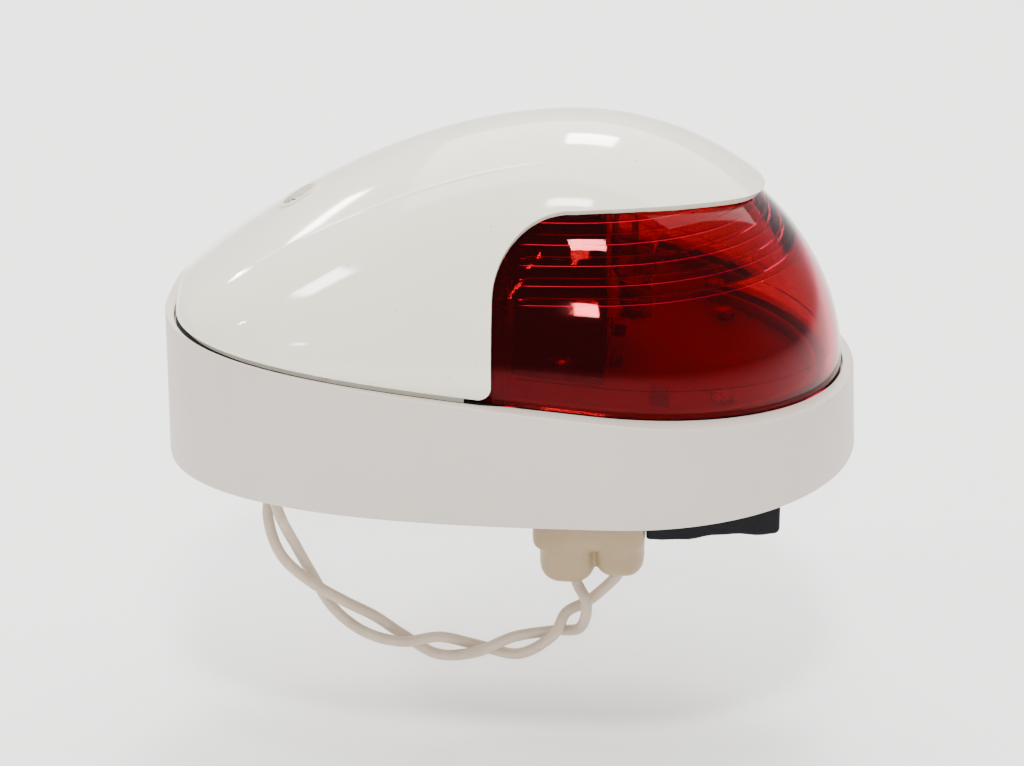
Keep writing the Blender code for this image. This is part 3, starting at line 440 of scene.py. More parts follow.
def clear_glass():
    """Thin bulb glass with slight waves."""
    made, tree, shader = finish("bulb_glass_clear")
    surface = bumped(tree, noise_at(tree, 120.0, 2.0), 0.05, 0.0003)
    rough = spread(tree, noise_at(tree, 300.0, 3.0), 0.3, 0.7, 0.0, 0.03)
    connect(tree, shader, Base_Color=(0.97, 0.98, 0.97, 1.0), Roughness=rough, Normal=surface,
            Transmission_Weight=1.0, IOR=1.47)
    return made


def studio_floor():
    """Plain pale floor with a trace of unevenness."""
    made, tree, shader = finish("studio_floor")
    tone = tuple(colours().floor)
    body = tinted(tree, noise_at(tree, 3.0, 2.0), scaled(tone, 0.995), tone)
    connect(tree, shader, Base_Color=body, Roughness=0.9, Specular_IOR_Level=0.2)
    return made


def make_finishes():
    """One material for each of the record's slots."""
    tones = colours()
    return {
        "base_white": satin_white(),
        "cover_white": gloss_white(),
        "lens_red": clear_red(),
        # Painted shade: the white inside pieces take a darkened white
        "inner_white": moulded("inner_white_shaded_moulding", tuple(tones.inside), 0.42, 0.06, 0.03),
        "inner_black": moulded("inner_black_moulding", tuple(tones.black), 0.45, 0.14, 0.25, shine=0.12),
        "rubber": moulded("black_rubber", tuple(tones.rubber), 0.70, 0.20, 0.30, 900.0),
        "connector_beige": soft_beige(),
        "lead_white": lead_sheath(),
        "brass": metal("drawn_brass", tuple(tones.brass), 0.28, (1.0, 1.0, 0.05)),
        "stainless": metal("turned_stainless", tuple(tones.steel), 0.26, (0.3, 0.3, 1.0)),
        "tungsten": metal("tungsten_wire", scaled(tones.steel, 0.45), 0.40, (1.0, 1.0, 1.0)),
        "glass": clear_glass(),
    }


# ---------------------------------------------------------------- mesh helpers

def rim_line():
    """Fall of the rim toward the nose, and its height at the middle."""
    s = sizes()
    return (s.tail_height - s.nose_height) / (2 * s.half_length), (s.tail_height + s.nose_height) / 2


def rim_shear():
    """Shear that lays a level drawing on the sloping rim plane."""
    slope, middle = rim_line()
    return Matrix(((1, 0, 0, 0), (0, 1, 0, 0), (-slope, 0, 1, middle), (0, 0, 0, 1)))


def plan(widest, nose, tail, half_width, power):
    """Outline from the nose round: an ellipse in front, a squarer curve behind."""
    quarter = sizes().detail
    points = []
    for step in range(4 * quarter):
        angle = math.pi * step / (2 * quarter)
        along, across = math.cos(angle), math.sin(angle)
        curve = 2.0 if along >= 0 else power
        reach = nose - widest if along >= 0 else widest - tail
        x = widest + math.copysign(abs(along) ** (2 / curve), along) * reach
        points.append((x, math.copysign(abs(across) ** (2 / curve), across) * half_width))
    return points


def base_ring(inset, height, on_rim=False):
    """Points round the base's outline, level or on the rim plane."""
    s = sizes()
    outline = plan(s.widest_x, s.half_length - inset, inset - s.half_length,
                   s.half_width - inset, s.rear_power)
    shear = rim_shear() if on_rim else Matrix.Identity(4)
    return [shear @ Vector((x, y, height)) for x, y in outline]


def dome_ring(inset, height):
    """Points round the cover's outline, on the rim plane."""
    s = sizes()
    outline = plan(s.dome_x, s.dome_x + s.lens_reach - inset, s.dome_tail_x + inset,
                   s.dome_half_width - inset, s.dome_power)
    shear = rim_shear()
    return [shear @ Vector((x, y, height)) for x, y in outline]


def groove_ring(height):
    """Points round the outer side of the groove, which follows the lens's foot closely."""
    s = sizes()
    outline = plan(s.dome_x, s.dome_x + s.lens_reach - s.groove_out, s.dome_tail_x + s.groove_out,
                   s.dome_half_width - s.groove_out, s.dome_power)
    shear = rim_shear()
    tight = (s.dome_half_width - s.lens_step + GAP) / (s.dome_half_width - s.groove_out)
    ring = []
    for x, y in outline:
        share = min(1.0, max(0.0, (x - s.opening_rear) / 0.002))
        ring.append(shear @ Vector((x, y * (1 + (tight - 1) * share), height)))
    return ring


def verts_in(geometry):
    """The vertices among what an operator gives back."""
    return [item for item in geometry if isinstance(item, bmesh.types.BMVert) and item.is_valid]


def centre_of(name):
    """Middle of a CAD node's box."""
    low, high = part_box(name)
    return (low + high) / 2


def ring_edges(bm, verts):
    """Edges that join a closed row of vertices."""
    return [bm.edges.get(pair) or bm.edges.new(pair) for pair in zip(verts, verts[1:] + verts[:1])]


def swept(rings, closed=False, rounded=None):
    """Skin drawn from ring to ring by extruding; some rings get a rounded edge."""
    bm = bmesh.new()
    row = [bm.verts.new(place) for place in rings[0]]
    edges = ring_edges(bm, row)
    start, kept = row, {0: edges}
    if not closed:
        bm.faces.new(row)
    for number, ring in enumerate(rings[1:], 1):
        grown = bmesh.ops.extrude_edge_only(bm, edges=edges)["geom"]
        fresh = set(verts_in(grown))
        row = [next(e.other_vert(vert) for e in vert.link_edges if e.other_vert(vert) in fresh)
               for vert in row]
        for vert, place in zip(row, ring):
            vert.co = place
        edges = ring_edges(bm, row)
        kept[number] = edges
    if closed:
        bmesh.ops.bridge_loops(bm, edges=edges + ring_edges(bm, start))
    else:
        bm.faces.new(row)
    bmesh.ops.recalc_face_normals(bm, faces=bm.faces)
    for number, width in (rounded or {}).items():
        bmesh.ops.bevel(bm, geom=kept[number], offset=width, offset_type="OFFSET", segments=3,
                        profile=0.5, affect="EDGES", clamp_overlap=True, material=-1)
    return bm


def lathe(profile, place=(0.0, 0.0, 0.0), steps=48, closed=False):
    """Profile of radius and height spun about an upright axis."""
    bm = bmesh.new()
    verts = [bm.verts.new((radius, 0.0, height)) for radius, height in profile]
    pairs = list(zip(verts, verts[1:]))
    if closed:
        pairs.append((verts[-1], verts[0]))
    edges = [bm.edges.new(pair) for pair in pairs]
    bmesh.ops.spin(bm, geom=verts + edges, cent=(0, 0, 0), axis=(0, 0, 1), angle=2 * math.pi,
                   steps=steps, use_merge=True, use_duplicate=False)
    bmesh.ops.remove_doubles(bm, verts=bm.verts, dist=WELD)
    bmesh.ops.recalc_face_normals(bm, faces=bm.faces)
    bmesh.ops.translate(bm, vec=place, verts=bm.verts)
    return bm


def arc(centre, radius, start, stop, count=8):
    """Points along an arc between two angles in degrees."""
    angles = [math.radians(start + (stop - start) * step / count) for step in range(count + 1)]
    return [(centre[0] + radius * math.cos(a), centre[1] + radius * math.sin(a)) for a in angles]


def block(low, high, rounding=0.0, segments=3):
    """Box between two corners, with rounded edges."""
    bm = bmesh.new()
    bmesh.ops.create_cube(bm, size=1.0)
    low, high = Vector(low), Vector(high)
    bmesh.ops.scale(bm, vec=high - low, verts=bm.verts)
    bmesh.ops.translate(bm, vec=(low + high) / 2, verts=bm.verts)
    if rounding:
        bmesh.ops.bevel(bm, geom=bm.edges[:], offset=rounding, offset_type="OFFSET", segments=segments,
                        profile=0.5, affect="EDGES", clamp_overlap=True, material=-1)
    return bm


def cylinder(radius, low, high, place=(0.0, 0.0), segments=32):
    """Upright cylinder between two heights."""
    bm = bmesh.new()
    bmesh.ops.create_cone(bm, cap_ends=True, segments=segments, radius1=radius, radius2=radius,
                          depth=high - low)
    bmesh.ops.translate(bm, vec=(*place, (low + high) / 2), verts=bm.verts)
    return bm


def to_object(name, bm, smooth=math.radians(38)):
    """Object at the origin from a bmesh."""
    mesh = bpy.data.meshes.new(name)
    bm.to_mesh(mesh)
    bm.free()
    made = bpy.data.objects.new(name, mesh)
    bpy.context.scene.collection.objects.link(made)
    mesh.shade_smooth()
    mesh.set_sharp_from_angle(angle=smooth)
    return made


def together(meshes):
    """One bmesh from several that do not touch."""
    whole = bmesh.new()
    for bm in meshes:
        mesh = bpy.data.meshes.new("piece")
        bm.to_mesh(mesh)
        bm.free()
        whole.from_mesh(mesh)
        bpy.data.meshes.remove(mesh)
    return whole


def combine(piece, tool, operation):
    """Cut, join or keep a piece by another, which is then removed."""
    step = piece.modifiers.new("shape", "BOOLEAN")
    step.operation = operation
    step.solver = "EXACT"
    step.object = tool
    settle(piece)
    bpy.data.objects.remove(tool, do_unlink=True)
    return piece


def settle(piece):
    """Make a piece's modifiers part of its mesh."""
    depsgraph = bpy.context.evaluated_depsgraph_get()
    mesh = bpy.data.meshes.new_from_object(piece.evaluated_get(depsgraph))
    old = piece.data
    piece.modifiers.clear()
    piece.data = mesh
    bpy.data.meshes.remove(old)
    return piece


def softened(piece, width, segments=3, angle=math.radians(35)):
    """Round a piece's sharp edges."""
    step = piece.modifiers.new("edges", "BEVEL")
    step.width = width
    step.segments = segments
    step.limit_method = "ANGLE"
    step.angle_limit = angle
    step.harden_normals = True
    return piece


def place_piece(piece, body, slot, replaced=()):
    """Finish a piece: its material, the body it moves with and what it stands for."""
    if slot not in FINISHES:
        raise RuntimeError(f"no finish for {slot}")
    piece.data.materials.clear()
    piece.data.materials.append(FINISHES[slot])
    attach(piece, body)
    if replaced:
        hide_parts(*replaced)
    return piece


# ---------------------------------------------------------------- egg-shaped sheets

def section(x, reach, half_width, crown):
    """Half width and height of the cover's form at a place along it."""
    s = sizes()
    if x >= s.dome_x:
        fall = math.sqrt(max(0.0, 1 - ((x - s.dome_x) / reach) ** 2))
        return half_width * fall, crown * fall
    share = min(1.0, (s.dome_x - x) / (s.dome_x - s.dome_tail_x))
    half = half_width * (1 - share ** s.dome_power) ** (1 / s.dome_power)
    return half, crown * (1 - ((s.dome_x - x) / s.ridge_reach) ** s.ridge_power)


def egg(reach, half_width, crown):
    """Closed egg above and below a level plane, its poles at nose and tail."""
    s = sizes()
    bm = bmesh.new()
    bmesh.ops.create_uvsphere(bm, u_segments=144, v_segments=112, radius=1.0)
    bmesh.ops.rotate(bm, verts=bm.verts, cent=(0, 0, 0), matrix=Matrix.Rotation(math.pi / 2, 3, "Y"))
    for vert in bm.verts:
        along, across, up = vert.co
        if along >= 0:
            vert.co = (s.dome_x + reach * along, half_width * across, crown * up)
            continue
        x = s.dome_x + max(-1.0, along) * (s.dome_x - s.dome_tail_x)
        radial = max(math.hypot(across, up), 1e-6)
        half, top = section(x, reach, half_width, crown)
        vert.co = (x, half * across / radial, top * up / radial)
    return bm


def with_borders(faces):
    """Faces with their vertices and edges, each once and always in the same order."""
    verts = dict.fromkeys(vert for face in faces for vert in face.verts)
    edges = dict.fromkeys(edge for face in faces for edge in face.edges)
    return [*verts, *edges, *faces]


def score(bm, points, axis, upper_only=False, margin=0.0035):
    """Draw edges into a sheet along a row of points, seen along an axis (Y or Z)."""
    other = 2 if axis == "Y" else 1

    def limits(row):
        return [(min(values), max(values)) for values in zip(*row)]

    def within(face, bounds, room):
        centre = face.calc_center_median()
        return all(low - room < centre[way] < high + room
                   for (low, high), way in zip(bounds, (0, other)))

    bm.faces.index_update()
    whole = limits(points)
    pool = {face for face in bm.faces if within(face, whole, margin + 0.004)
            and not (upper_only and face.calc_center_median().z < 0)}
    for start, stop in zip(points, points[1:]):
        normal, spot = Vector(), Vector()
        normal[0], normal[other] = start[1] - stop[1], stop[0] - start[0]
        spot[0], spot[other] = start
        bounds = limits((start, stop))
        near = [face for face in pool if face.is_valid and within(face, bounds, margin)]
        near.sort(key=lambda face: face.index)
        made = bmesh.ops.bisect_plane(bm, geom=with_borders(near), dist=WELD, plane_co=spot,
                                      plane_no=normal.normalized())
        pool.update(item for item in made["geom"] if isinstance(item, bmesh.types.BMFace))
        bm.faces.index_update()


def visor_edge(x):
    """Height of the visor's lower edge above the rim plane."""
    s = sizes()
    fall = 2.9 if x < s.visor_edge_x else 6.0
    return s.visor_edge - fall * (x - s.visor_edge_x) ** 2


def opening_outline(grow, count=28):
    """Rear edge, upper corner and visor edge of the side opening, in x and height."""
    s = sizes()
    rear, radius = s.opening_rear - grow, s.opening_radius + grow
    points = [(rear, -0.010), (rear, 0.004), (rear, 0.008), (rear, 0.014)]
    points += arc((rear + radius, s.opening_corner), radius, 180, 98, count)
    return points + [(x / 1000, visor_edge(x / 1000) + grow) for x in range(16, 67, 2)]


def in_opening(x, height, grow):
    """Whether a point seen from the side is inside the opening."""
    s = sizes()
    rear, radius = s.opening_rear - grow, s.opening_radius + grow
    if x < rear or height > visor_edge(max(x, 0.016)) + grow:
        return False
    if x < rear + radius and height > s.opening_corner:
        return math.hypot(x - rear - radius, height - s.opening_corner) < radius
    return True


def drop_faces(bm, test):
    """Delete the faces whose middles pass a test."""
    gone = [face for face in bm.faces if test(face.calc_center_median())]
    bmesh.ops.delete(bm, geom=gone, context="FACES")


def cut_below(bm, height):
    """Cut a sheet off level and drop the lower part."""
    bmesh.ops.bisect_plane(bm, geom=bm.verts[:] + bm.edges[:] + bm.faces[:], dist=WELD,
                           plane_co=(0, 0, height), plane_no=(0, 0, 1), clear_inner=True)


def cut_inner(bm, spot, normal):
    """Score the faces of the second material by a plane."""
    normal, spot = Vector(normal).normalized(), Vector(spot)
    near = [f for f in bm.faces if f.material_index == 1
            and abs((f.calc_center_median() - spot).dot(normal)) < 0.006]
    bmesh.ops.bisect_plane(bm, geom=with_borders(near), dist=WELD, plane_co=spot, plane_no=normal)


# ---------------------------------------------------------------- pieces

def direction(azimuth, elevation):
    """Unit vector toward an azimuth and elevation in degrees, azimuth 0 being the near side."""
    a, e = math.radians(azimuth), math.radians(elevation)
    return Vector((math.sin(a) * math.cos(e), -math.cos(a) * math.cos(e), math.sin(e)))


def make_stage():
    """Pale floor that curves up behind, pale surroundings and soft panels."""
    floor_z = CAD_LOW.z - 0.012
    bm = bmesh.new()
    profile = [(-3.0, 0.0), (1.2, 0.0)] + arc((1.2, 0.8), 0.8, -90, 0, 16) + [(2.0, 3.5)]
    verts = [bm.verts.new((-4.0, y, floor_z + z)) for y, z in profile]
    edges = [bm.edges.new(pair) for pair in zip(verts, verts[1:])]
    grown = bmesh.ops.extrude_edge_only(bm, edges=edges)["geom"]
    bmesh.ops.translate(bm, vec=(8.0, 0, 0), verts=verts_in(grown))
    bmesh.ops.recalc_face_normals(bm, faces=bm.faces)
    floor = to_object("studio_floor", bm)
    floor.data.materials.append(studio_floor())

    world = bpy.data.worlds.new("studio")
    world.use_nodes = True
    back = world.node_tree.nodes["Background"]
    back.inputs["Color"].default_value = (0.93, 0.95, 1.0, 1.0)
    back.inputs["Strength"].default_value = 0.75
    bpy.context.scene.world = world

    focus = Vector((0.0, 0.0, 0.045))
    for name, (azimuth, elevation, width, height, power) in PANELS.items():
        away = direction(azimuth, elevation)
        lamp = bpy.data.lights.new(name, "AREA")
        lamp.shape = "RECTANGLE"
        lamp.size, lamp.size_y, lamp.energy = width, height, power
        lamp.color = (1.0, 0.98, 0.94)
        made = bpy.data.objects.new(name, lamp)
        made.location = focus + away * PANEL_DISTANCE
        made.rotation_euler = away.to_track_quat("Z", "Y").to_euler()
        bpy.context.scene.collection.objects.link(made)


def make_camera():
    """Camera a little above the light, nearly square to its side."""
    back = direction(CAMERA_AZIMUTH, CAMERA_ELEVATION)
    right = direction(CAMERA_AZIMUTH + 90, 0)
    tilted = (back + back.cross(right) * math.tan(math.radians(CAMERA_DROP))).normalized()
    right = (right - right.dot(tilted) * tilted).normalized()
    axes = Matrix((right, tilted.cross(right), tilted)).transposed()
    turned = axes @ Matrix.Rotation(math.radians(CAMERA_ROLL), 3, "Z")
    data = bpy.data.cameras.new("view")
    data.sensor_width = 36.0
    data.lens = CAMERA_LENS
    data.clip_start, data.clip_end = 0.01, 20.0
    camera = bpy.data.objects.new("view", data)
    camera.matrix_world = Matrix.Translation(CAMERA_TARGET + back * CAMERA_DISTANCE) @ turned.to_4x4()
    bpy.context.scene.collection.objects.link(camera)
    bpy.context.scene.camera = camera


def smooth_route(points, spacing):
    """Points at even spacing on a smooth curve through the route's points."""
    ends = [points[0]] + list(points) + [points[-1]]
    fine = []
    for before, start, stop, after in zip(ends, ends[1:], ends[2:], ends[3:]):
        for step in range(16):
            t = step / 16
            fine.append(0.5 * (2 * start + (stop - before) * t
                               + (2 * before - 5 * start + 4 * stop - after) * t * t
                               + (3 * start - before - 3 * stop + after) * t * t * t))
    fine.append(points[-1])
    total = sum((b - a).length for a, b in zip(fine, fine[1:]))
    count = max(2, round(total / spacing))
    even, walked = [fine[0]], 0.0
    for a, b in zip(fine, fine[1:]):
        run = (b - a).length
        while len(even) < count and walked + run >= total * len(even) / count:
            even.append(a.lerp(b, min(1.0, (total * len(even) / count - walked) / run)))
        walked += run
    even.append(fine[-1])
    return even


def make_leads():
    """The two leads, loosely twisted, from the connector to the tail grommet."""
    radius = sizes().lead_radius
    middles = [Vector((*entry[:2], entry[2] + 0.00005)) for entry in PAIR_ROUTE]
    twisted = ([], [])
    for index, entry in enumerate(PAIR_ROUTE):
        ahead = middles[min(index + 1, len(middles) - 1)] - middles[max(index - 1, 0)]
        across = ahead.cross(Vector((0.0, 1.0, 0.0))).normalized()
        deep = across.cross(ahead).normalized()
        angle = math.pi * entry[3]
        away = (across * math.cos(angle) + deep * math.sin(angle)) * entry[4]
        twisted[0].append(middles[index] + away)
        twisted[1].append(middles[index] - away)
    plugs = {"lead_a": ["connector_sleeve", "connector_receptacle_1"],
             "lead_b": ["connector_receptacle_2"]}
    depths = (0.0308, 0.0288)
    for name, blade, depth, run, side in zip(plugs, BLADES, depths, twisted, (1, -1)):
        start = Vector((blade.x, blade.y, -depth - GAP))
        end = Vector((GROMMET_CENTRE.x, GROMMET_CENTRE.y + side * 0.0017, -GAP))
        below = Vector((0.0, 0.0, 0.002))
        points = smooth_route([start, start - below, *run, end - below, end], 0.0012)
        curve = bpy.data.curves.new(name + "_sheath", "CURVE")
        curve.dimensions = "3D"
        curve.bevel_depth = radius
        curve.bevel_resolution = 5
        curve.use_fill_caps = True
        spline = curve.splines.new("POLY")
        spline.points.add(len(points) - 1)
        for point, place in zip(spline.points, points):
            point.co = (*place, 1.0)
        spline.use_smooth = True
        lead = bpy.data.objects.new(name + "_sheath", curve)
        bpy.context.scene.collection.objects.link(lead)
        lead.modifiers.new("closed", "WELD").merge_threshold = WELD
        place_piece(lead, "root", "lead_white", [name])


def make_base():
    """Wedge base: seal groove, wall, rim with its gasket groove, flange, floor, posts and holes."""
    s = sizes()
    seal_in, seal_out, seal_depth = 0.0083, 0.0047, 0.0018
    rings = [
        base_ring(seal_in, 0.0), base_ring(seal_in, seal_depth), base_ring(seal_out, seal_depth),
        base_ring(seal_out, 0.0), base_ring(0.0, 0.0), base_ring(s.draft, 0.0, True),
        groove_ring(0.0), groove_ring(-s.groove_depth),
        dome_ring(s.groove_in, -s.groove_depth), dome_ring(s.groove_in, 0.0),
        dome_ring(s.mouth_inset, 0.0), dome_ring(s.mouth_inset, -s.flange),
        base_ring(s.wall + s.draft, -s.flange, True), base_ring(s.wall + s.draft, s.wall),
    ]
    rounded = {4: 0.0005, 5: 0.0007, 6: 0.0004, 9: 0.0003, 10: 0.0003}
    base = to_object("base_shell", swept(rings, rounded=rounded))

    shear = rim_shear()
    posts = [cylinder(0.0055, s.wall - GAP, s.pillar_z, (s.screw_x, 0.0))]
    bores = [cylinder(0.0033, 0.020, 0.040, (s.screw_x, 0.0))]
    for number in (1, 2):
        for kind in ("tower_screw", "tray_screw"):
            x, y, _ = centre_of(f"{kind}_{number}")
            top = (shear @ Vector((x, y, -0.0043))).z
            posts.append(cylinder(0.0034, s.wall - GAP, top, (x, y), 24))
            bores.append(cylinder(0.0015, 0.008, 0.030, (x, y), 16))
    combine(base, to_object("posts", together(posts)), "UNION")
    under, over = -0.001, s.wall + 0.001
    bores.append(cylinder(0.005, under, over, GROMMET_CENTRE.xy))
    for x, y, _ in BLADES:
        bores.append(block((x - 0.0028, y - 0.0008, under), (x + 0.0028, y + 0.0008, over)))
    for number in (1, 2):
        bores.append(cylinder(0.0018, under, over, (centre_of(f"header_screw_{number}").x, 0.0), 20))
    for x, y in DECK_HOLES:
        for side in (-1, 1):
            bores.append(cylinder(DECK_HOLE_RADIUS, under, over, (x, side * y), 24))
    combine(base, to_object("bores", together(bores)), "DIFFERENCE")
    base.data.shade_smooth()
    base.data.set_sharp_from_angle(angle=math.radians(30))
    place_piece(base, "root", "base_white", ["base_housing"])


def make_seals():
    """Deck seal and lens gasket, as fine rings."""
    s = sizes()
    seal = swept([base_ring(0.005, 0.0), base_ring(0.008, 0.0), base_ring(0.008, 0.0015),
                  base_ring(0.005, 0.0015)], closed=True)
    place_piece(to_object("deck_seal_ring", seal), "root", "rubber", ["deck_seal"])
    low = GAP - s.groove_depth
    high = low + 0.0008
    gasket = swept([dome_ring(0.0, low), dome_ring(0.0048, low), dome_ring(0.0048, high),
                    dome_ring(0.0, high)], closed=True)
    place_piece(to_object("lens_gasket_ring", gasket), "root", "rubber", ["lens_gasket"])


def raise_shoulder(bm):
    """Score the shoulder line into both sides of the cover's sheet and raise its crest."""
    s = sizes()
    count, half_band = 36, 0.0005
    shares = [step / count for step in range(count + 1)]
    shoulder = [(SHOULDER_START + SHOULDER_RUN * share, SHOULDER_SIDE - SHOULDER_CLOSING * share ** 2)
                for share in shares]
    for side in (-1, 1):
        for shift in (-1.0, -0.5, 0.0, 0.5, 1.0):
            row = [(x, side * (y + shift * half_band)) for x, y in shoulder]
            score(bm, row, "Z", upper_only=True, margin=0.0032)
    for vert in bm.verts:
        x, y, z = vert.co
        share = (x - SHOULDER_START) / SHOULDER_RUN
        off = abs(y) - (SHOULDER_SIDE - SHOULDER_CLOSING * share ** 2)
        if z > 0 and 0 < share < 1 and abs(off) < half_band:
            half, top = section(x, s.visor_reach, s.dome_half_width, s.crown)
            away = Vector((0.0, y / half ** 2, z / top ** 2)).normalized()
            fade = min(1.0, 6 * share, 5 * (1 - share))
            vert.co += away * s.shoulder * fade * (0.5 + 0.5 * math.cos(math.pi * off / half_band))


def make_cover():
    """Glossy cover: visor, opening, shoulder line, raised collar and screw well; and its lip."""
    s = sizes()
    bm = egg(s.visor_reach, s.dome_half_width, s.crown)
    raise_shoulder(bm)
    for radius in (s.collar_radius, s.well_radius):
        circle = arc((s.screw_x, 0.0), radius, 0, 360, 40)
        score(bm, circle, "Z", upper_only=True, margin=0.0022)
    collar = [f for f in bm.faces if f.calc_center_median().z > 0
              and (f.calc_center_median().xy - Vector((s.screw_x, 0.0))).length < s.collar_radius]
    bm.normal_update()
    lift = sum((f.normal for f in collar), Vector()).normalized() * 0.0005
    grown = bmesh.ops.extrude_face_region(bm, geom=collar)["geom"]
    bmesh.ops.delete(bm, geom=[f for f in collar if f.is_valid], context="FACES")
    bmesh.ops.translate(bm, vec=lift, verts=verts_in(grown))
    drop_faces(bm, lambda c: c.z > 0 and math.hypot(c.x - lift.x - s.screw_x, c.y) < s.well_radius)

    score(bm, opening_outline(0.0), "Y", margin=0.003)
    centre = (s.opening_rear - s.corner_radius, s.cover_edge + s.corner_radius)
    score(bm, arc(centre, s.corner_radius, -90, 0, 10), "Y", margin=0.003)

    def gone(c):
        corner = (c.x > centre[0] and c.z < centre[1]
                  and math.hypot(c.x - centre[0], c.z - centre[1]) > s.corner_radius)
        return in_opening(c.x, c.z, 0.0) or corner
    drop_faces(bm, gone)
    cut_below(bm, s.cover_edge)
    bm.transform(rim_shear())

    inner_radius = 0.00205
    levels = ((s.well_radius, s.seat_z), (inner_radius, s.seat_z), (inner_radius, s.pillar_z + GAP))
    edges = [e for e in bm.edges if e.is_boundary
             and math.hypot(e.verts[0].co.x - s.screw_x, e.verts[0].co.y) < s.well_radius + 0.0008
             and e.verts[0].co.z > s.seat_z]
    for radius, height in levels:
        grown = bmesh.ops.extrude_edge_only(bm, edges=edges)["geom"]
        fresh = set(verts_in(grown))
        edges = [item for item in grown if isinstance(item, bmesh.types.BMEdge) and set(item.verts) <= fresh]
        for vert in fresh:
            offset = Vector((vert.co.x - s.screw_x, vert.co.y)).normalized() * radius
            vert.co = (s.screw_x + offset.x, offset.y, height)
    bmesh.ops.remove_doubles(bm, verts=bm.verts, dist=0.000003)
    bmesh.ops.delete(bm, geom=[e for e in bm.edges if not e.link_faces], context="EDGES")
    bmesh.ops.recalc_face_normals(bm, faces=bm.faces)
    if sum(f.normal.z for f in bm.faces if f.calc_center_median().z > 0.06) < 0:
        bmesh.ops.reverse_faces(bm, faces=bm.faces)
    cover = to_object("cover_shell", bm, math.radians(50))
    wall = cover.modifiers.new("wall", "SOLIDIFY")
    wall.thickness = s.thickness
    wall.offset = -1.0
    softened(cover, 0.00028, angle=math.radians(55))
    settle(cover)
    place_piece(cover, "cover", "cover_white", ["cover"])

    lip = swept([dome_ring(0.0012, -s.foot), dome_ring(0.0028, -s.foot), dome_ring(0.0028, 0.0035),
                 dome_ring(0.0012, 0.0035)], closed=True)
    limit = s.opening_rear - s.flange_reach - 0.0007
    bmesh.ops.bisect_plane(lip, geom=lip.verts[:] + lip.edges[:] + lip.faces[:], dist=WELD,
                           plane_co=(limit, 0, 0), plane_no=(1, 0, 0), clear_outer=True)
    bmesh.ops.holes_fill(lip, edges=[e for e in lip.edges if e.is_boundary], sides=0)
    bmesh.ops.recalc_face_normals(lip, faces=lip.faces)
    place_piece(to_object("cover_lip", lip), "cover", "cover_white")


def make_lens():
    """Red lens: window and tucked flange, with prism steps round its inner side."""
    s = sizes()
    bm = egg(s.lens_reach, s.dome_half_width - s.lens_step, s.crown - s.lens_drop)
    outer_edge = GAP
    for grow in (-GAP, outer_edge, s.flange_reach):
        score(bm, opening_outline(grow), "Y")
    drop_faces(bm, lambda c: not in_opening(c.x, c.z, s.flange_reach))
    tucked = Vector((0.98, 0.962, 0.994))
    for vert in bm.verts:
        if not in_opening(vert.co.x + 1e-6, vert.co.z - 1e-6, outer_edge - 0.00001):
            vert.co.x = s.dome_x + (vert.co.x - s.dome_x) * tucked.x
            vert.co.y *= tucked.y
            vert.co.z *= tucked.z
    cut_below(bm, 0.0)
    foot = [e for e in bm.edges if e.is_boundary and all(abs(v.co.z) < 1e-6 for v in e.verts)]
    grown = bmesh.ops.extrude_edge_only(bm, edges=foot)["geom"]
    bmesh.ops.translate(bm, vec=(0, 0, -s.foot), verts=verts_in(grown))
    bmesh.ops.remove_doubles(bm, verts=bm.verts, dist=0.000004)
    bmesh.ops.recalc_face_normals(bm, faces=bm.faces)
    if sum(f.normal.x for f in bm.faces if f.calc_center_median().x > 0.06) < 0:
        bmesh.ops.reverse_faces(bm, faces=bm.faces)
    lens = to_object("lens_window", bm)
    wall = lens.modifiers.new("wall", "SOLIDIFY")
    wall.thickness = s.lens_thickness
    wall.offset = -1.0
    wall.use_even_offset = True
    wall.material_offset = 1
    lens.data.materials.append(FINISHES["lens_red"])
    lens.data.materials.append(FINISHES["glass"])
    settle(lens)

    steps = [s.flute_low + s.flute_pitch * number for number in range(5)]
    flange, riser = 0.0052, 0.00022
    bm = bmesh.new()
    bm.from_mesh(lens.data)
    slope, middle = rim_line()
    for height in steps:
        for lift in (0.0, riser):
            cut_inner(bm, (0, 0, height + lift - middle), (-slope, 0, 1))
    for lift in (0.0, riser):
        cut_inner(bm, (0, 0, flange + lift), (0, 0, 1))
    bm.normal_update()
    inner = {v for f in bm.faces if f.material_index == 1 for v in f.verts}
    rim = {v for f in bm.faces if f.material_index != 1 for v in f.verts}
    moves = {}
    for vert in inner - rim:
        height = vert.co.z + middle - slope * vert.co.x
        fade = max(0.0, min(1.0, (vert.co.x - 0.0045) / 0.0012))
        prism = 0.0
        for low in steps:
            if low + 0.0001 < height <= low + s.flute_pitch + 0.00002:
                prism = s.flute_depth * (1 - (height - low) / s.flute_pitch)
        if vert.co.z < flange + 0.0001:
            prism = 0.0003
        if prism:
            moves[vert] = vert.normal * prism * fade
    for vert, move in moves.items():
        vert.co += move
    for face in bm.faces:
        face.material_index = 0
    bm.transform(rim_shear())
    bm.to_mesh(lens.data)
    bm.free()
    lens.data.shade_smooth()
    lens.data.set_sharp_from_angle(angle=math.radians(14))
    place_piece(lens, "lens", "lens_red", ["lens"])


